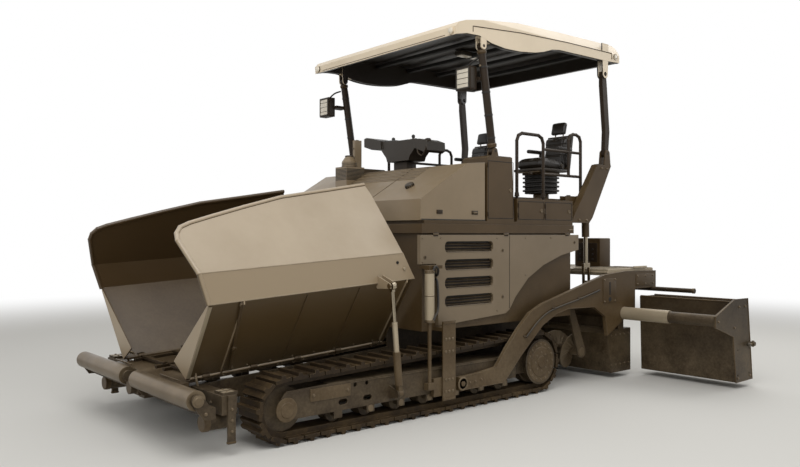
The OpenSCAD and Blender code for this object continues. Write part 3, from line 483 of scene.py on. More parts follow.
def smoothPath(points, steps):
    points = [Vector(p) for p in points]
    result = []
    for i in range(len(points) - 1):
        before, after = points[max(i - 1, 0)], points[min(i + 2, len(points) - 1)]
        a, b = points[i], points[i + 1]
        for k in range(steps):
            t = k / steps
            result.append(0.5 * (2 * a + (b - before) * t + (2 * before - 5 * a + 4 * b - after) * t * t
                                 + (3 * a - before - 3 * b + after) * t ** 3))
    return result + [points[-1]]


def pipe(piece, points, radius, skin, segments=10, steps=6, turn=None):
    path = smoothPath(points, steps)
    mesh = bmesh.new()
    rings = []
    side = None
    for i, place in enumerate(path):
        way = (path[min(i + 1, len(path) - 1)] - path[max(i - 1, 0)]).normalized()
        side = way.orthogonal().normalized() if side is None else (side - way * side.dot(way)).normalized()
        rings.append(ringOf(mesh, place, side, way.cross(side), radius, segments))
    for a, b in zip(rings, rings[1:]):
        for k in range(segments):
            n = (k + 1) % segments
            mesh.faces.new((a[k], a[n], b[n], b[k]))
    mesh.faces.new(rings[0][::-1])
    mesh.faces.new(rings[-1])
    joinInto(piece, mesh, skin, turn)


def addObject(name, data, node):  # an object that rides with that node's body
    obj = bpy.data.objects.new(name, data)
    scene.collection.objects.link(obj)
    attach(obj, bodyOf(node))
    return obj


def settle(piece, name, node, replaced=()):
    mesh = bpy.data.meshes.new(name)
    piece["mesh"].to_mesh(mesh)
    piece["mesh"].free()
    for skin in piece["skins"]:
        mesh.materials.append(finishes[skin])
    mesh.polygons.foreach_set("use_smooth", [True] * len(mesh.polygons))
    mesh.set_sharp_from_angle(angle=deg(32))
    obj = addObject(name, mesh, node)
    if replaced:
        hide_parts(*replaced)
    return obj


def evaluatedMesh(obj):
    bpy.context.view_layer.update()
    return bpy.data.meshes.new_from_object(obj.evaluated_get(bpy.context.evaluated_depsgraph_get()))


# small repeated fasteners and studs are set out by one geometry node group
def scatterGroup():
    inputs = {"Geometry": "Geometry", "Radius": 0.01, "Height": 0.008, "Corners": 6, "Turn": "Rotation",
              "Material": "Material"}
    group, given, out = newGroup("scatterHeads", inputs, ["Geometry"], "GeometryNodeTree", "Geometry")
    head = addNode(group, "GeometryNodeMeshCylinder",
                   {"Vertices": given["Corners"], "Radius": given["Radius"], "Depth": given["Height"]})
    wide = math2(group, "MULTIPLY", given["Radius"], 1.45)
    thin = math2(group, "MULTIPLY", given["Height"], 0.35)
    washer = addNode(group, "GeometryNodeMeshCylinder", {"Vertices": 14, "Radius": wide, "Depth": thin})
    joined = addNode(group, "GeometryNodeJoinGeometry", {0: head.outputs["Mesh"]})
    group.links.new(washer.outputs["Mesh"], joined.inputs[0])
    spread = addNode(group, "GeometryNodeInstanceOnPoints",
                     {"Points": given["Geometry"], "Instance": joined.outputs[0], "Rotation": given["Turn"]})
    real = addNode(group, "GeometryNodeRealizeInstances", {0: spread.outputs[0]})
    paint = addNode(group, "GeometryNodeSetMaterial", {"Geometry": real.outputs[0], "Material": given["Material"]})
    group.links.new(paint.outputs[0], out[0])
    return group


scatterHeads = scatterGroup()


def scatter(name, node, places, toward, radius, height, skin, corners=6):
    points = bpy.data.meshes.new(name + "Points")
    points.from_pydata([at(*p) for p in places], [], [])
    obj = bpy.data.objects.new(name + "Points", points)
    scene.collection.objects.link(obj)
    mod = obj.modifiers.new("scatter", "NODES")
    mod.node_group = scatterHeads
    keys = {item.name: item.identifier for item in scatterHeads.interface.items_tree if item.in_out == "INPUT"}
    for label, value in (("Radius", radius / 1000), ("Height", height / 1000), ("Corners", corners),
                         ("Turn", Vector(toward).to_track_quat("Z", "X").to_euler()), ("Material", finishes[skin])):
        mod[keys[label]] = value
    data = evaluatedMesh(obj)
    bpy.data.objects.remove(obj)
    addObject(name, data, node)


# seats: cushion, back and headrest are inflated as cloth, the rest is moulded
seatLook = {"voxel": 0.009, "pressure": 4.0, "cap": 0.022, "frames": 20, "channel": 0.007, "channelWidth": 0.008,
            "bellows": 9}
seatMeshes = {}
seatPads = {  # size, crown, place, tilt and the sewn channels as (distance, axis)
    "cushion": ((0.470, 0.425, 0.085), 0.012, (-2225, 600, 2382), -4, ((-0.12, 1), (0.12, 1), (-0.13, 0), (0.06, 0))),
    "back": ((0.400, 0.372, 0.060), 0.010, (-2515, 600, 2552), 81, ((-0.11, 1), (0.11, 1), (0.05, 0), (-0.08, 0))),
    "head": ((0.150, 0.205, 0.050), 0.008, (-2562, 600, 2830), 76, ()),
}


def padStart(size, crown):
    mesh = bmesh.new()
    bmesh.ops.create_cube(mesh, size=1)
    bmesh.ops.subdivide_edges(mesh, edges=list(mesh.edges), cuts=9, use_grid_fill=True)
    for vert in mesh.verts:
        u, v, w = (2 * c for c in vert.co)
        pinch = 1 - 0.05 * (1 - abs(u) ** 4) * (abs(v) > 0.99) - 0.04 * (1 - abs(v) ** 4) * (abs(u) > 0.99)
        reach = (abs(u) ** 6 + abs(v) ** 6 + 0.5 * abs(w) ** 6) ** (1 / 6)
        scale = pinch / max(reach, 1) if reach > 0.98 else pinch
        lift = crown * (1 - u * u) * (1 - v * v) if w > 0 else 0
        thin = 1 - 0.25 * (u ** 6 + v ** 6) / 2
        vert.co = Vector((u * size[0] / 2 * scale, v * size[1] / 2 * scale, w * size[2] / 2 * thin + lift))
    return mesh


def puff(mesh):  # voxel remesh, cloth with pressure, capped move, one subdivision
    data = bpy.data.meshes.new("seatPad")
    mesh.to_mesh(data)
    mesh.free()
    obj = bpy.data.objects.new("seatPad", data)
    scene.collection.objects.link(obj)
    mod = obj.modifiers.new("remesh", "REMESH")
    mod.mode = "VOXEL"
    mod.voxel_size = seatLook["voxel"]
    flat = evaluatedMesh(obj)
    obj.modifiers.clear()
    obj.data = flat
    start = [v.co.copy() for v in flat.vertices]
    cloth = obj.modifiers.new("cloth", "CLOTH")
    cloth.settings.quality = 4
    cloth.settings.use_pressure = True
    cloth.settings.uniform_pressure_force = seatLook["pressure"]
    cloth.settings.effector_weights.gravity = 0
    cloth.point_cache.frame_end = seatLook["frames"]
    for frameNo in range(1, seatLook["frames"] + 1):
        scene.frame_set(frameNo)
    blown = bpy.data.meshes.new_from_object(obj.evaluated_get(bpy.context.evaluated_depsgraph_get()))
    for vert, old in zip(blown.vertices, start):
        move = vert.co - old
        if move.length > seatLook["cap"]:
            vert.co = old + move.normalized() * seatLook["cap"]
    obj.modifiers.clear()
    obj.data = blown
    scene.frame_set(1)
    smooth = obj.modifiers.new("smooth", "SUBSURF")
    smooth.levels = smooth.render_levels = 1
    final = evaluatedMesh(obj)
    bpy.data.objects.remove(obj)
    return final


def seatPad(size, crown, place, tilt, channels):
    data = puff(padStart(size, crown))
    for vert in data.vertices:
        if vert.co.z > 0.2 * size[2]:
            for centre, axis in channels:
                off = (vert.co[axis] - centre) / seatLook["channelWidth"]
                vert.co.z -= seatLook["channel"] * math.exp(-off ** 2)
    data.transform(Matrix.Translation(at(*place)) @ Matrix.Rotation(deg(tilt), 4, "Y"))
    return data


def dressSeat(side, sign):
    for label, facts in seatPads.items():
        if label not in seatMeshes:
            seatMeshes[label] = seatPad(*facts)
        data = seatMeshes[label].copy()
        if sign < 0:
            data.transform(Matrix.Scale(-1, 4, (0, 1, 0)))
            data.flip_normals()
        data.materials.clear()
        data.materials.append(finishes["blackVinyl"])
        data.polygons.foreach_set("use_smooth", [True] * len(data.polygons))
        obj = addObject(f"seat_{label}_{side}", data, f"seat_{side}")
    y = 600 * sign
    piece = newPiece()
    for edge in (-1, 1):  # armrest pads and their brackets
        slab(piece, (-2505, y + edge * 212 - 24, 2545), (-2255, y + edge * 212 + 24, 2588), "blackVinyl", 18)
        slab(piece, (-2500, y + edge * 205 - 9, 2400), (-2455, y + edge * 205 + 9, 2560), "darkPlastic", 6)
    slab(piece, (-2460, y - 200, 2306), (-1990, y + 200, 2340), "darkPlastic", 14)
    prism(piece, [(-2455, 2330), (-2540, 2350), (-2602, 2735), (-2575, 2745), (-2505, 2380)], "y", y - 172, y + 172,
          "darkPlastic", 12)
    for k in range(seatLook["bellows"]):  # bellows over the suspension
        wide = 148 if k % 2 else 132
        slab(piece, (-2230 - wide, y - wide, 2062 + 24 * k), (-2230 + wide, y + wide, 2086 + 24 * k), "rubber", 10)
    lathe(piece, (-2230, y, 1992), up, [(0, 96), (12, 96), (20, 88), (60, 88), (72, 80), (76, 80)],
          "framePaint", 32)
    slab(piece, (-2380, y - 150, 2275), (-2080, y + 150, 2308), "framePaint", 8)
    for edge in (-1, 1):
        rod(piece, (-2560, y + edge * 55, 2730), (-2575, y + edge * 55, 2790), 7, "bareSteel", 12)
        rod(piece, (-2350, y + edge * 214, 2372), (-2350, y + edge * 196, 2372), 26, "darkPlastic", 20)
    pipe(piece, [(-2040, y - 150, 2312), (-2002, y - 150, 2300), (-1985, y - 60, 2296), (-1985, y + 60, 2296),
                 (-2002, y + 150, 2300), (-2040, y + 150, 2312)], 7, "bareSteel")
    slab(piece, (-2470, y + 196 * sign, 2420), (-2440, y + 222 * sign, 2500), "darkPlastic", 5)
    body = settle(piece, f"seat_frame_{side}", f"seat_{side}", (f"seat_{side}",))


eachSide(dressSeat)
print("seats ready")


# console with its panel, levers and looped handrail
consoleLook = {"switches": 11, "switchStep": 26}


def buildConsole():
    piece = newPiece()
    prism(piece, [(-560, 2650), (-300, 2640), (20, 2628), (56, 2565), (-60, 2456), (-80, 2410), (-440, 2410),
                  (-462, 2462), (-540, 2545)], "x", -1066, -826, "darkPlastic", 16)
    prism(piece, [(-838, 2708), (-790, 2718), (-542, 2660), (-524, 2568), (-700, 2572), (-836, 2614)], "x", -1086, -806,
          "darkPlastic", 16)
    prism(piece, [(2, 2634), (118, 2624), (230, 2586), (236, 2494), (190, 2475), (24, 2534)], "x", -1076, -816,
          "darkPlastic", 16)
    prism(piece, [(-520, 2652), (-340, 2645), (-340, 2655), (-520, 2663)], "x", -1040, -856, "screenGlass", 3)
    for k in range(consoleLook["switches"]):
        y = -300 + consoleLook["switchStep"] * k
        for x in (-1020, -960, -900):
            skin = "rubber" if (k + x // 60) % 3 else "lampLens"
            slab(piece, (x - 9, y - 8, 2628), (x + 9, y + 8, 2650 - 0.06 * k), skin, 3)
    for y in (-460, -120):
        rod(piece, (-930, y, 2625), (-935, y, 2672), 6, "bareSteel", 10)
        lathe(piece, (-933, y, 2655), up, [(0, 11), (12, 17), (26, 20), (38, 17), (45, 8), (46, 0)],
              "blackVinyl", 20)
        lathe(piece, (-930, y, 2624), up, [(0, 24), (10, 19), (22, 9)], "rubber", 20)
    for y, z in ((-700, 2670), (120, 2615)):
        lathe(piece, (-930, y, z), up, [(0, 36), (14, 34), (22, 22), (24, 0)], "darkPlastic", 24)
    slab(piece, (-992, -382, 2052), (-868, -158, 2408), "darkPaint", 14)
    slab(piece, (-1010, -400, 2046), (-850, -140, 2062), "darkPaint", 5)
    for x in (-992, -868):
        for y in (-380, -160):
            bolt(piece, (x, y, 2062), up, 8, "lightSteel")
    pipe(piece, [(-1060, -520, 2470), (-1090, -560, 2470), (-1095, -640, 2500), (-1085, -650, 2620),
                 (-1060, -560, 2640)], 9, "darkPaint")
    pipe(piece, [(-835, 60, 2560), (-812, 90, 2480), (-808, 160, 2440), (-808, 210, 2500), (-830, 200, 2560)], 9,
         "darkPaint")
    for y in (-260, -280, -300):
        pipe(piece, [(-930, y, 2060), (-1010, y, 2090), (-1030, y - 6, 2200), (-1010, y, 2330), (-960, y, 2410)], 7,
             "rubber")
    obj = settle(piece, "operator_console", "console", ("console",))


buildConsole()
print("console ready")


# roof: seams, corner lamps, ribs underneath in near-black as painted shade, work lamps on the posts
roofLook = {"ribs": 5, "seam": 5}


def buildRoof():
    piece = newPiece()
    seal = ((-346, 3460), (-480, 3484), (-650, 3488), (-820, 3443), (-1010, 3424), (-1230, 3428), (-1460, 3453),
            (-1600, 3483), (-1740, 3527), (-1860, 3543), (-2730, 3553), (-2940, 3562))
    across = {-346: 1120, -480: 1136, -2940: 1130}
    seam = ((-560, 3508), (-560, 3560), (-1240, 3612), (-2000, 3640), (-2800, 3650), (-2800, 3580))
    for on, out in bothSides():
        for (x0, z0), (x1, z1) in zip(seam, seam[1:]):
            rod(piece, on(x0, 1149.5, z0), on(x1, 1149.5, z1), roofLook["seam"], "framePaint", 8, 1)
        pipe(piece, [on(x, across.get(x, 1140), z) for x, z in seal], 9, "rubber", 8, 3)
        lathe(piece, on(-353, 1085, 3492), ahead, [(0, 34), (22, 34), (26, 30), (27, 22)], "darkPlastic", 28)
        lathe(piece, on(-328, 1085, 3492), ahead, [(0, 29), (4, 28), (8, 20), (10, 0)], "lampLens", 28)
        lathe(piece, on(-2870, 1150, 3620), out, [(0, 33), (6, 33), (8, 28)], "darkPlastic", 28)
        lathe(piece, on(-2870, 1156, 3620), out, [(0, 27), (3, 20), (4, 0)], "lampLens", 28)
    # ribs under the roof in near-black, painted shade
    for k in range(roofLook["ribs"]):
        x, z = -700 - 500 * k, 3600 + 17 * min(k, 3)
        slab(piece, (x - 30, -1080, z), (x + 30, 1080, z + 40), "nightPaint", 8)
    slab(piece, (-340, -1000, 3462), (-337, 1000, 3468), "framePaint", 1)
    slab(piece, (-1900, -60, 3640), (-1500, 60, 3690), "darkPlastic", 14)
    slab(piece, (-1880, -45, 3634), (-1520, 45, 3642), "lampLens", 4)
    for x in (-900, -1600, -2300):
        for y in (-900, 0, 900):
            z = 3645 + (abs(x) - 710) * 0.138 if x > -1240 else 3718 + (abs(x) - 1240) * 0.035
            bolt(piece, (x, y, z - 7), up, 8, "roofShell")
    settle(piece, "roof_fittings", "roof")


def buildWorkLamp(name, low, high):
    piece = newPiece()
    rear, y0, z0 = low
    face, y1, z1 = high
    slab(piece, low, high, "darkPlastic", 22)
    slab(piece, (face - 12, y0 + 18, z0 + 20), (face + 3, y1 - 18, z1 - 20), "lampLens", 5)
    for a, b, c, d in ((y0 + 10, y1 - 10, z1 - 24, z1 - 10), (y0 + 10, y1 - 10, z0 + 10, z0 + 24),
                       (y0 + 8, y0 + 22, z0 + 10, z1 - 10), (y1 - 22, y1 - 8, z0 + 10, z1 - 10)):
        slab(piece, (face - 6, a, c), (face + 7, b, d), "darkPlastic", 3)
    for k in range(3):  # bars across the lens
        z = z0 + 60 + k * (z1 - z0 - 120) / 2
        slab(piece, (face, y0 + 14, z - 2), (face + 6, y1 - 14, z + 2), "darkPlastic", 1)
    for k in range(4):  # cooling fins
        y = y0 + 30 + k * (y1 - y0 - 60) / 3
        slab(piece, (rear + 1, y - 6, z0 + 30), (rear + 12, y + 6, z1 - 30), "rubber", 3)
    settle(piece, name, "roof_front_posts")


buildRoof()
buildWorkLamp("work_lamp_left", (-692, 878, 2988), (-598, 1072, 3212))
buildWorkLamp("work_lamp_right", (-627, -1347, 2988), (-533, -1163, 3212))
print("roof ready")


# wings: weld beads, a light strip along the fold as a painted highlight, edge straps, a strut and bolts, set out in the
# wing's own tilted frame
wingLook = {"fall": 3.5, "beadAndHighlight": 4, "boltStep": 215}


def wingTurn(sign):
    return (Matrix.Diagonal((1, sign, 1, 1)) @ Matrix.Translation((135, 640, 610))
            @ Matrix.Rotation(deg(wingLook["fall"]), 4, "Y"))


def onLower(x, along, out):  # a point on the outer face of the lower panel
    return (x, 0.603 * along + 0.798 * out + 2, 0.798 * along - 0.603 * out - 6)


def buildWing(side, sign):
    piece = newPiece()
    turn = wingTurn(sign)
    beadAndHighlight = wingLook["beadAndHighlight"]
    # the rod along the fold is a strip of light paint, a painted highlight on the band's lower edge; the rod at the
    # band's top is a weld bead
    for y, z, x0, x1 in ((460, 606, -30, 1925), (461, 838, 84, 1985)):
        rod(piece, (x0, y, z), (x1, y, z), beadAndHighlight, "wingPaint", 8, 1, turn)
    for x0, x1, skin in ((1902, 1929, "lightSteel"), (-8, 16, "framePaint")):  # straps along both edges
        mesh = bmesh.new()
        corners = ((x0, 20), (x1, 20), (x1, 745), (x0, 745))
        verts = [mesh.verts.new(onLower(x, along, out)) for out in (0, 6) for x, along in corners]
        for face in ((0, 1, 2, 3), (4, 5, 6, 7), (0, 1, 5, 4), (1, 2, 6, 5), (2, 3, 7, 6), (3, 0, 4, 7)):
            mesh.faces.new([verts[i] for i in face])
        joinInto(piece, mesh, skin, turn)
    pipe(piece, [onLower(1672, 740, 10), onLower(1665, 700, 16), onLower(1590, 120, 16), onLower(1570, 60, 10)], 11,
         "framePaint", 10, 4, turn)
    for x, along, out, far, radius, skin, soft in ((1612, 290, 8, 34, 20, "framePaint", 4),
                                                   (1570, 62, 2, 26, 16, "bareSteel", 3),
                                                   (1672, 738, 2, 24, 14, "bareSteel", 3)):
        rod(piece, onLower(x, along, out), onLower(x, along, far), radius, skin, 18, soft, turn)
    for x in (560, 1080):
        pipe(piece, [onLower(x, 30, 2), onLower(x, 740, 2)], beadAndHighlight, "framePaint", 8, 1, turn)
    rod(piece, (78, 463, 700), (78, 474, 700), 15, "lightSteel", 18, 3, turn)
    # a near-black disc in the notch under the rim, painted shade
    lathe(piece, (150, 463, 760), (0, 1, 0), [(0, 13), (5, 13), (6, 7), (1, 6)], "nightPaint", 20, turn)
    for x in range(130, 1850, wingLook["boltStep"]):
        bolt(piece, onLower(x, 46, 0), (0, 0.798, -0.603), 9, "bareSteel", turn)
    for x in (314, 372):
        rod(piece, (x - 9, 610, 585), (x + 9, 610, 585), 22, "framePaint", 20, 2, turn)
    settle(piece, f"wing_trim_{side}", f"wing_{side}")


eachSide(buildWing)
print("wings ready")


# side panels: painted shade in the recess behind the slots, fins, tabs and quarter-turn locks
panelLook = {"slots": 4, "slotStep": 165, "fins": 3, "finStep": 28}


def buildPanel(side, sign):
    piece = newPiece()
    on, out = onSide(sign)
    # a near-black sheet behind the slots, painted shade in the recess
    block(piece, on(-850, 1120.5, 920), on(-160, 1124, 1565), "nightPaint", 0)
    for i in range(panelLook["slots"]):
        z = 1440 - panelLook["slotStep"] * i
        for k in range(panelLook["fins"]):
            h = z + 22 + panelLook["finStep"] * k
            a, b = 1124 * sign, 1142 * sign
            prism(piece, [(a, h), (b, h - 12), (b, h - 8), (a, h + 5)], "x", -822, -188, "darkPaint", 0)
        pipe(piece, [on(-800, 1161, z + 4), on(-215, 1161, z + 4)], 3, "panelPaintShaded", 8, 1)
    for x in (-70, -1010, -1970):
        block(piece, on(x - 28, 1138, 1588), on(x + 28, 1166, 1622), "darkPaint", 4)
        rod(piece, on(x - 34, 1160, 1606), on(x + 34, 1160, 1606), 8, "bareSteel", 12)
    for x, z in ((60, 1400), (-960, 1450), (-960, 1000), (-2100, 1520)):
        lathe(piece, on(x, 1160, z), out, [(0, 17), (3, 17), (4, 12), (2, 11), (2, 0)], "bareSteel", 24)
        block(piece, on(x - 3, 1161, z - 10), on(x + 3, 1166, z + 10), "darkPaint", 1)
    # a near-black line down the panel joint, painted shade in the gap
    rod(piece, on(-1060, 1160.5, 1596), on(-1060, 1160.5, 880), 2.5, "nightPaint", 6, 0.5)
    for x, z in ((90, 1570), (90, 1360), (-880, 1570), (-130, 1570), (-880, 870), (-2140, 1570), (-1300, 1570),
                 (-1300, 1200), (-1700, 1570)):
        bolt(piece, on(x, 1160, z), out, 7, "panelPaintShaded")
    settle(piece, f"panel_fittings_{side}", f"side_panel_{side}")


eachSide(buildPanel)


# hood: painted shade inside behind the louvres, seams, cap ribs, catches and the intake grille
hoodLook = {"slope": 350 / 590, "capRibs": 12, "grilleBars": 9}
hoodCap = (-126, 747, 2054)


def hoodZ(x, over=0):  # height of the sloping top at x
    return 1920 + (100 - x) * hoodLook["slope"] + over


def buildHood():
    piece = newPiece()
    # a near-black sheet under the louvres, painted shade inside the hood
    prism(piece, [(-250, hoodZ(-250, -45)), (-486, hoodZ(-486, -45)), (-486, hoodZ(-486, -60)),
                  (-250, hoodZ(-250, -60))], "y", -700, 700, "nightPaint", 0)
    for louvre in (-285, -345, -405, -465):
        for x in (louvre - 17, louvre + 17):
            rod(piece, (x, -646, hoodZ(x, 2)), (x, 646, hoodZ(x, 2)), 4, "hoodPaint", 8, 1)
    slope = Vector((0.51, 0, 0.86))
    lathe(piece, Vector(hoodCap) + slope * 20, slope, [(0, 44), (6, 44), (10, 41), (16, 30), (17, 0)],
          "darkPlastic", 32)
    lean = Matrix.Translation(hoodCap) @ Vector((0, 0, 1)).rotation_difference(slope).to_matrix().to_4x4()
    for k in range(hoodLook["capRibs"]):
        turn = lean @ Matrix.Rotation(2 * math.pi * k / hoodLook["capRibs"], 4, "Z")
        slab(piece, (38, -4, 0), (46, 4, 22), "darkPlastic", 1, turn)
    for y in (-380, 380):
        # near-black lines down the hood's front, painted shade in the gaps
        rod(piece, (101, y, 1722), (101, y, 1932), 3, "nightPaint", 6, 1)
        pipe(piece, [(101, y, 1921), (60, y, hoodZ(60, 1)), (-480, y, hoodZ(-480, 1))], 2.5, "framePaint", 6, 1)
    for on, out in bothSides():
        block(piece, on(-620, 1148, 1790), on(-540, 1158, 1826), "darkPaint", 5)
        block(piece, on(-606, 1156, 1800), on(-554, 1164, 1815), "bareSteel", 3)
        block(piece, on(-160, 1148, 1790), on(-90, 1158, 1826), "darkPaint", 5)
        rod(piece, on(-718, 1151, 1738), on(98, 1151, 1738), 5, "rubber", 8, 1)
        pipe(piece, [on(100, 1146, 1735), on(100, 1146, 1915), on(-486, 1146, 2264), on(-716, 1146, 2284)], 5,
             "hoodPaint", 8, 1)
    # near-black bars of the intake grille, painted shade of its slots
    for k in range(hoodLook["grilleBars"]):
        z = 2190 + 14 * k
        slab(piece, (-468, -401, z), (-232, -397, z + 7), "nightPaint", 1)
        slab(piece, (-232, -598, z), (-228, -402, z + 7), "nightPaint", 1)
    for z in (2336, 2352, 2368):
        lathe(piece, (-340, -500, z), up, [(0, 80), (3, 84), (6, 80)], "darkPlastic", 32)
    lathe(piece, (-340, -500, 2444), up, [(0, 42), (2, 46), (12, 46), (16, 30), (16, 0)], "darkPlastic", 28)
    rod(piece, (-445, -495, 2630), (-445, -495, 2636), 16, "darkPlastic", 16)
    for z in (2300, 2420, 2540):
        bolt(piece, (-400, -495, z), ahead, 9)
    settle(piece, "hood_fittings", "hood")


buildHood()
print("panels and hood ready")


# deck boxes with their door gaps, locks, hinges and the studs of the floor
deckLook = {"gap": 3, "studStep": 62}


def buildDeck():
    piece = newPiece()
    for on, out in bothSides():
        for x0, x1, z0, z1 in ((-1125, -765, 1760, 2310), (-1600, -1205, 1755, 1935), (-2060, -1625, 1755, 1935)):
            corners = [on(x, 1150.5, z) for x, z in ((x0, z0), (x1, z0), (x1, z1), (x0, z1))]
            # near-black lines in the door gaps, painted shade
            for a, b in zip(corners, corners[1:] + corners[:1]):
                rod(piece, a, b, deckLook["gap"], "nightPaint", 6, 0.5)
            lathe(piece, on(x0 + 40, 1150, (z0 + z1) / 2), out, [(0, 20), (4, 20), (5, 14), (2, 13), (2, 0)],
                  "bareSteel", 24)
            for z in (z0 + 40, z1 - 40):
                rod(piece, on(x1 + 4, 1154, z - 24), on(x1 + 4, 1154, z + 24), 7, "darkPaint", 12)
        block(piece, on(-1105, 830, 2358), on(-795, 1140, 2366), "darkPaint", 3)
        rod(piece, on(-2070, 1166, 1650), on(-1990, 1166, 1650), 8, "bareSteel", 12)
    # near-black lines along the seams of the floor, painted shade
    for y in (-700, -350, 0, 350, 700):
        rod(piece, (-2545, y, 1991), (-1150, y, 1991), 3, "nightPaint", 6, 0.5)
    settle(piece, "deck_fittings", "deck")
    step = deckLook["studStep"]
    places = [(-1180 - step * i, -905 + step * k, 1992) for i in range(22) for k in range(30)]
    scatter("deck_studs", "deck", places, up, 9, 4, "framePaint", 8)


buildDeck()


# posts of the roof: rubber clamps and cable, painted feet
postLook = {"cable": 7, "clampsAt": (120, 340, 560, 800)}


def buildPosts():
    piece = newPiece()
    for sign in (1, -1):
        foot, top = Vector((-870, 1110 * sign, 2410)), Vector((-710, 1110 * sign, 3400))
        way = (top - foot).normalized()
        pipe(piece, [foot + way * 70 + Vector((-42, 0, 4)), foot + way * 400 + Vector((-43, 0, 6)),
                     foot + way * 900 + Vector((-42, 0, 4))], postLook["cable"], "rubber", 8, 3)
        for along in postLook["clampsAt"]:
            lathe(piece, foot + way * along, way, [(0, 42), (16, 42)], "rubber", 28)
        lathe(piece, foot + way * 36, way, [(0, 44), (30, 48), (40, 40)], "framePaint", 28)
        lathe(piece, foot + way * 930, way, [(0, 40), (14, 47), (36, 44)], "framePaint", 28)
    rod(piece, (-700, 1108, 3205), (-700, 1108, 3225), 12, "bareSteel", 14)
    pipe(piece, [(-640, 1000, 3212), (-660, 1050, 3260), (-700, 1086, 3290)], 9, "rubber", 8, 4)
    pipe(piece, [(-580, -1200, 3212), (-620, -1160, 3260), (-690, -1140, 3290)], 9, "rubber", 8, 4)
    settle(piece, "post_fittings", "roof_front_posts")


buildPosts()
print("deck and posts ready")


# levelling cylinders, guide plates, final drives, idlers and rollers
gearLook = {"hose": 11, "cylinderBore": 42.2, "rollers": 6, "rollerStep": 330, "rollerZ": 165.5}


def circleOf(on, x, y, z, radius, count):  # places round a centre, in the plane of the machine's side
    angles = [2 * math.pi * k / count for k in range(count)]
    return [on(x + radius * math.cos(a), y, z + radius * math.sin(a)) for a in angles]


def buildSideGear(side, sign):
    piece = newPiece()
    on, out = onSide(sign)
    bore = gearLook["cylinderBore"]
    for z, r, h in ((830, 47, 26), (1060, 45, 10), (1262, 47, 30)):
        lathe(piece, on(65, 1225, z), up, [(0, r - 3), (3, r), (h - 3, r), (h, r - 3)], "bareSteel", 28,
              bore=bore)
    lathe(piece, on(65, 1225, 856), up, [(0, 43.5), (406, 43.5)], "lightSteel", 32, bore=bore)
    for z, over, mid, end in ((850, 110, 1180, 1200), (1285, 6, 1240, 1255)):
        rod(piece, on(65, 1225, z), on(65, 1282, z), 12, "bareSteel", 12)
        pipe(piece, [on(65, 1275, z), on(40, 1272, z + 40), on(-30, 1235, z + over), on(-60, 1190, mid),
                     on(-64, 1150, end)], gearLook["hose"], "rubber", 10, 6)
    for z in (125, 800):
        block(piece, on(-222, 1250, z + 6), on(-83, 1257, z + 22), "framePaint", 2)
    settle(piece, f"levelling_gear_{side}", f"tow_guide_{side}")
    rows = [on(x, 1252, z) for z in (205, 310, 560, 670) for x in (-110, -150, -195)]
    scatter(f"guide_bolts_{side}", f"tow_guide_{side}", rows, out, 10, 12, "bareSteel")
    drive = newPiece()
    lathe(drive, on(-1470, 1209, 320), out, [(0, 205), (3, 203), (4, 150), (10, 146), (14, 120), (15, 60), (22, 56),
                                             (24, 0)], "framePaint", 48)
    lathe(drive, on(1500, 1186, 270), out, [(-4, 95), (4, 92), (8, 60), (14, 56), (16, 0)], "framePaint", 36)
    for k in range(gearLook["rollers"]):
        lathe(drive, on(-960 + gearLook["rollerStep"] * k, 1186, gearLook["rollerZ"]), out,
              [(-3, 30), (3, 28), (4, 0)], "bareSteel", 20)
    block(drive, on(900, 1184, 300), on(1290, 1192, 400), "framePaint", 4)
    for x in (930, 1260):
        bolt(drive, on(x, 1192, 350), out, 11)
    rod(drive, on(-1110, 1187, 404), on(900, 1187, 404), 5, "darkPaint", 8, 1)
    settle(drive, f"track_covers_{side}", f"track_frame_{side}")
    ring = circleOf(on, -1470, 1214, 320, 178, 16) + circleOf(on, -1470, 1223, 320, 92, 8)
    scatter(f"drive_bolts_{side}", f"track_frame_{side}", ring, out, 9, 10, "bareSteel")


eachSide(buildSideGear)
print("side gear ready")


# push beam, front frame and hopper floor: collars, bolts, pads and seams
frontLook = {"bolt": 10, "boltStep": 250}


def buildFront():
    size = frontLook["bolt"]
    beam, piece, floor = newPiece(), newPiece(), newPiece()
    for on, out in bothSides():
        lathe(beam, on(2228, 1200, 440), out, [(0, 44), (6, 44), (8, 30), (12, 28), (13, 0)], "bareSteel", 32)
        for x, y in ((2170, 1200), (2120, 1186)):
            bolt(beam, on(x, y, 342), out, 12)
        lathe(piece, on(2060, 1000, 230), ahead, [(0, 60), (2, 64), (26, 64), (46, 62), (50, 58)], "framePaint", 36)
        for y in (1040, 1115):
            block(piece, on(1912, y - 28, 438), on(2008, y + 28, 463), "lightSteel", 6)
            bolt(piece, on(1960, y, 462), up, size)
        block(piece, on(1915, 1148, 92), on(1985, 1171, 108), "framePaint", 4)
        for z in (180, 260, 340):
            bolt(piece, on(1950, 1170, z), out, size)
        for y in (760, 980):
            bolt(piece, on(2020, y, 370), ahead, 11)
        pipe(piece, [on(1990, 700, 440), on(2000, 690, 500), on(1990, 660, 545), on(1960, 650, 520)], 10, "bareSteel",
             10, 5)
        block(floor, on(2118, 300, 486), on(2127, 660, 500), "bareSteel", 3)
        for x in range(250, 2000, frontLook["boltStep"]):
            for y in (70, 640):
                bolt(floor, on(x, y, 590 - (x - 135) * 0.0612), up, size)
    for y in (-540, -180, 180, 540):
        rod(floor, (78, y, 640), (78, y, 1180), 5, "darkPaint", 8, 1)
    settle(beam, "push_beam_fittings", "push_beam")
    settle(piece, "bumper_fittings", "front_bumper")
    settle(floor, "hopper_fittings", "hopper_floor")


buildFront()
print("front ready")


# tow arms: weld edges, bosses, bolts, hose clips and the slotted end plate
armLook = {"edge": 5, "hose": 9}
armTop = [(-280, 307), (-550, 322), (-770, 347), (-920, 517), (-1090, 687), (-1260, 827), (-1460, 907), (-1800, 987),
          (-2510, 1157), (-2910, 1187), (-3540, 1177)]
armLow = [(-280, 193), (-860, 193), (-920, 233), (-1110, 413), (-1450, 693), (-1670, 793), (-1880, 833), (-2320, 823)]


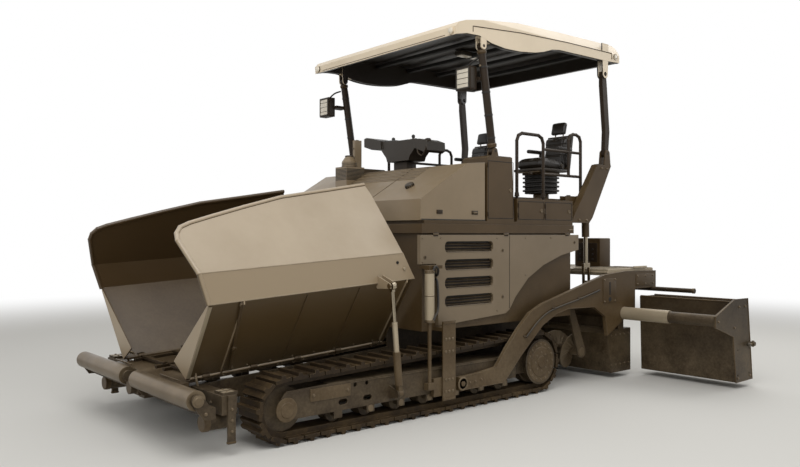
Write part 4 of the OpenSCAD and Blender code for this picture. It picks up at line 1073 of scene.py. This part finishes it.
def buildArms():
    piece = newPiece()
    for on, out in bothSides():
        for line in (armTop, armLow):
            for y in (1218, 1252):
                pipe(piece, [on(x, y, z) for x, z in line], armLook["edge"], "framePaint", 8, 1)
        lathe(piece, on(-320, 1254, 250), out, [(-2, 62), (4, 62), (7, 56), (7, 48), (1, 47)], "bareSteel", 36)
        block(piece, on(-2720, 1253, 855), on(-2480, 1262, 1120), "framePaint", 5)
        # a near-black hole and slot on the end plate, painted shade
        rod(piece, on(-2600, 1261, 890), on(-2600, 1264, 890), 26, "nightPaint", 24, 0.5)
        block(piece, on(-2612, 1261, 940), on(-2588, 1264, 1080), "nightPaint", 0)
        block(piece, on(-3500, 1253, 1010), on(-3120, 1260, 1150), "framePaint", 5)
        for x in (-3470, -3310, -3150):
            for z in (1035, 1125):
                bolt(piece, on(x, 1260, z), out, 9)
        for x, z in ((-410, 250), (-480, 255), (-560, 260), (-2700, 870), (-2500, 870), (-2700, 1105), (-2500, 1105)):
            bolt(piece, on(x, 1255 if x > -600 else 1262, z), out, 10)
        for x, z in ((-1180, 600), (-1620, 850), (-2050, 930)):
            pipe(piece, [on(x - 26, 1256, z), on(x, 1272, z + 4), on(x + 26, 1256, z + 8)], 7, "darkPaint", 8, 4)
        pipe(piece, [on(-1180, 1268, 596), on(-1400, 1266, 760), on(-1620, 1268, 846), on(-2050, 1268, 926),
                     on(-2400, 1266, 1000)], armLook["hose"], "rubber", 10, 5)
    settle(piece, "tow_arm_fittings", "tow_arms")


# screed: cabinet, hoses, face plates, brackets, slide bars, walkway plates and tread studs
screedLook = {"cabinet": (-3440, 330, 1212, -3220, 700, 1560), "studStep": 55}


def buildScreed():
    piece = newPiece()
    x0, y0, z0, x1, y1, z1 = screedLook["cabinet"]
    slab(piece, (x0, y0, z0), (x1, y1, z1), "framePaint", 14)
    slab(piece, (x0 - 8, y0 + 20, z0 + 24), (x0 + 4, y1 - 20, z1 - 24), "panelPaintShaded", 5)
    # near-black strips in the cabinet's slots, painted shade
    for k in range(7):
        slab(piece, (x0 - 12, y0 + 60, z0 + 60 + 16 * k), (x0 - 6, y1 - 160, z0 + 66 + 16 * k), "nightPaint", 1)
    rod(piece, (x0 - 10, y1 - 60, z0 + 190), (x0 - 22, y1 - 60, z0 + 190), 16, "bareSteel", 20)
    slab(piece, (x1 - 2, y0 + 40, z0 + 60), (x1 + 6, y1 - 40, z1 - 60), "darkPaint", 4)
    for z in (z0 + 90, z0 + 150, z0 + 210):
        for y in (y0 + 90, y0 + 180, y0 + 270):
            rod(piece, (x1 + 5, y, z), (x1 + 14, y, z), 13, "rubber", 16)
    for on, out in bothSides():
        pipe(piece, [on(-2650, 300, 520), on(-2640, 300, 700), on(-2610, 330, 860), on(-2640, 380, 1000),
                     on(-2690, 400, 1148)], 14, "rubber", 10, 6)
        pipe(piece, [on(-2660, 360, 520), on(-2650, 360, 690), on(-2600, 420, 850), on(-2650, 470, 1010),
                     on(-2700, 480, 1148)], 11, "rubber", 10, 6)
        for y in (200, 620, 1040):
            block(piece, on(-3085, y - 60, 120), on(-3066, y + 60, 520), "framePaint", 4)
            for z in (160, 480):
                bolt(piece, on(-3086, y, z), back, 11)
        for k in range(5):
            for z in (150, 480):
                bolt(piece, on(-2690 - 85 * k, 1216, z), out, 10)
        for y in (1020, 300):
            block(piece, on(-2930, y, 796), on(-2830, y + 40, 1152), "framePaint", 6)
        block(piece, on(-3500, 1080, 945), on(-3450, 1130, 1152), "framePaint", 5)
        rod(piece, on(-3475, 930, 968), on(-3475, 1780, 968), 26, "darkPaint", 24, 3)
        for y in (945, 1765):
            lathe(piece, on(-3475, y, 968), (0, 1, 0), [(-12, 30), (12, 30)], "bareSteel", 24)
    settle(piece, "screed_fittings", "basic_screed")
    plate = newPiece()
    for y0, y1 in ((-1205, -820), (-810, -420), (-410, -10), (0, 300), (740, 1205)):
        for x0, x1 in ((-3190, -2640), (-3535, -3452)):
            slab(plate, (x0, y0, 1209), (x1, y1, 1216), "treadPlate", 2)
    # a near-black sheet under the grating bars, painted shade
    slab(plate, (-3450, 760, 1209), (-3195, 1200, 1213), "nightPaint", 2)
    for x in (-3400, -3320, -3240):
        rod(plate, (x, 770, 1214), (x, 1190, 1214), 7, "bareSteel", 8, 1)
    slab(plate, (-3540, -1213, 1090), (-3510, 1213, 1102), "lightSteel", 1)
    rod(plate, (-2632, -1212, 1180), (-2632, 1212, 1180), 14, "lightSteel", 12, 2)
    slab(plate, (-3380, 1216, 1214), (-3120, 1238, 1240), "lightSteel", 5)
    settle(plate, "walkway_plates", "screed_walkway")
    step = screedLook["studStep"]
    places = [(-2665 - step * i, y + step * k, 1218) for y, count in ((-1190, 27), (765, 8))
              for i in range(10) for k in range(count)]
    scatter("walkway_studs", "screed_walkway", places, up, 11, 5, "lightSteel", 8)


extensionLook = {"edge": 6, "bar": 9}


def buildExtension(side, sign):
    piece = newPiece()
    on, out = onSide(sign)
    rim = ((-3160, 70), (-3520, 70), (-3420, 930), (-3130, 930), (-2730, 780), (-2730, 670), (-3100, 550), (-3160, 70))
    pipe(piece, [on(x, 2400, z) for x, z in rim], extensionLook["edge"], "framePaint", 8, 1)
    for x, z in ((-3230, 850), (-3360, 850), (-2790, 725), (-3130, 640), (-3200, 110), (-3470, 110)):
        bolt(piece, on(x, 2400, z), out, 12)
    rod(piece, on(-3460, 2436, 450), on(-3380, 2436, 450), 11, "bareSteel", 14)
    lathe(piece, on(-3384, 2436, 450), ahead, [(0, 12), (8, 20), (30, 20), (38, 12), (39, 0)], "rubber", 20)
    for y in (1500, 1900, 2300):
        block(piece, on(-3508, y - 16, 80), on(-3420, y + 16, 200), "framePaint", 4)
    for y in (1420, 1700, 1980, 2260):
        bolt(piece, on(-3470.2, y, 370), (-1, 0, 0.1), 10)
    for x in (-3130, -3422):
        rod(piece, on(x, 1310, 905), on(x, 2378, 905), extensionLook["bar"], "framePaint", 10)
    rod(piece, on(-3290, 1400, 520), on(-3290, 2340, 520), 26, "bareSteel", 20)
    rod(piece, on(-3230, 1400, 640), on(-3230, 2340, 640), 16, "rubber", 14)
    settle(piece, f"extension_fittings_{side}", f"screed_extension_{side}")


buildArms()
buildScreed()
eachSide(buildExtension)
print("arms and screed ready")


# rear of the tractor: hoses, covers with slots, rail feet and the fittings of the bracket posts
rearLook = {"hoses": 4, "hose": 10, "slots": 8}


def buildRear():
    piece, rails, posts = newPiece(), newPiece(), newPiece()
    for on, out in bothSides():
        for k in range(rearLook["hoses"]):
            y = 905 + 22 * k
            pipe(piece, [on(-2080, y, 1600 - 12 * k), on(-2160, y, 1590 - 14 * k), on(-2230 + 6 * k, y, 1500),
                         on(-2240 + 8 * k, y, 1300), on(-2200, y, 1150), on(-2080, y, 1090 + 10 * k)],
                 rearLook["hose"], "rubber", 10, 5)
        block(piece, on(-2092, 870, 1040), on(-2078, 1010, 1640), "darkPaint", 4)
        for z in (1060, 1620):
            bolt(piece, on(-2092, 1000, z), back, 9)
        for x in (-1330, -1750, -2180, -2395):
            lathe(rails, on(x, 1020, 1992), up, [(0, 30), (4, 30), (5, 24), (40, 22)], "darkPaint", 20)
        for x in (-1540, -2290):
            rod(rails, on(x, 1020, 2226), on(x, 1020, 2254), 20, "darkPaint", 16)
        pipe(posts, [on(-2130, 1071, 1800), on(-2540, 1071, 2370)], 8, "rubber", 8, 1)
        for x, z in ((-2200, 1760), (-2330, 1760), (-2610, 2340), (-2710, 2340)):
            bolt(posts, on(x, 1149, z), out, 12)
        block(posts, on(-2770, 1075, 2376), on(-2560, 1145, 2388), "darkPaint", 3)
    for y in (-500, 0, 500):
        slab(piece, (-2096, y - 180, 1200), (-2078, y + 180, 1640), "framePaint", 6)
        # near-black strips in the covers' slots, painted shade
        for k in range(rearLook["slots"]):
            slab(piece, (-2100, y - 150, 1250 + 42 * k), (-2093, y + 150, 1264 + 42 * k), "nightPaint", 1)
    settle(piece, "rear_fittings", "housing")
    settle(rails, "rail_clamps", "railings")
    settle(posts, "bracket_fittings", "rear_bracket_posts")


buildRear()
print("rear ready")
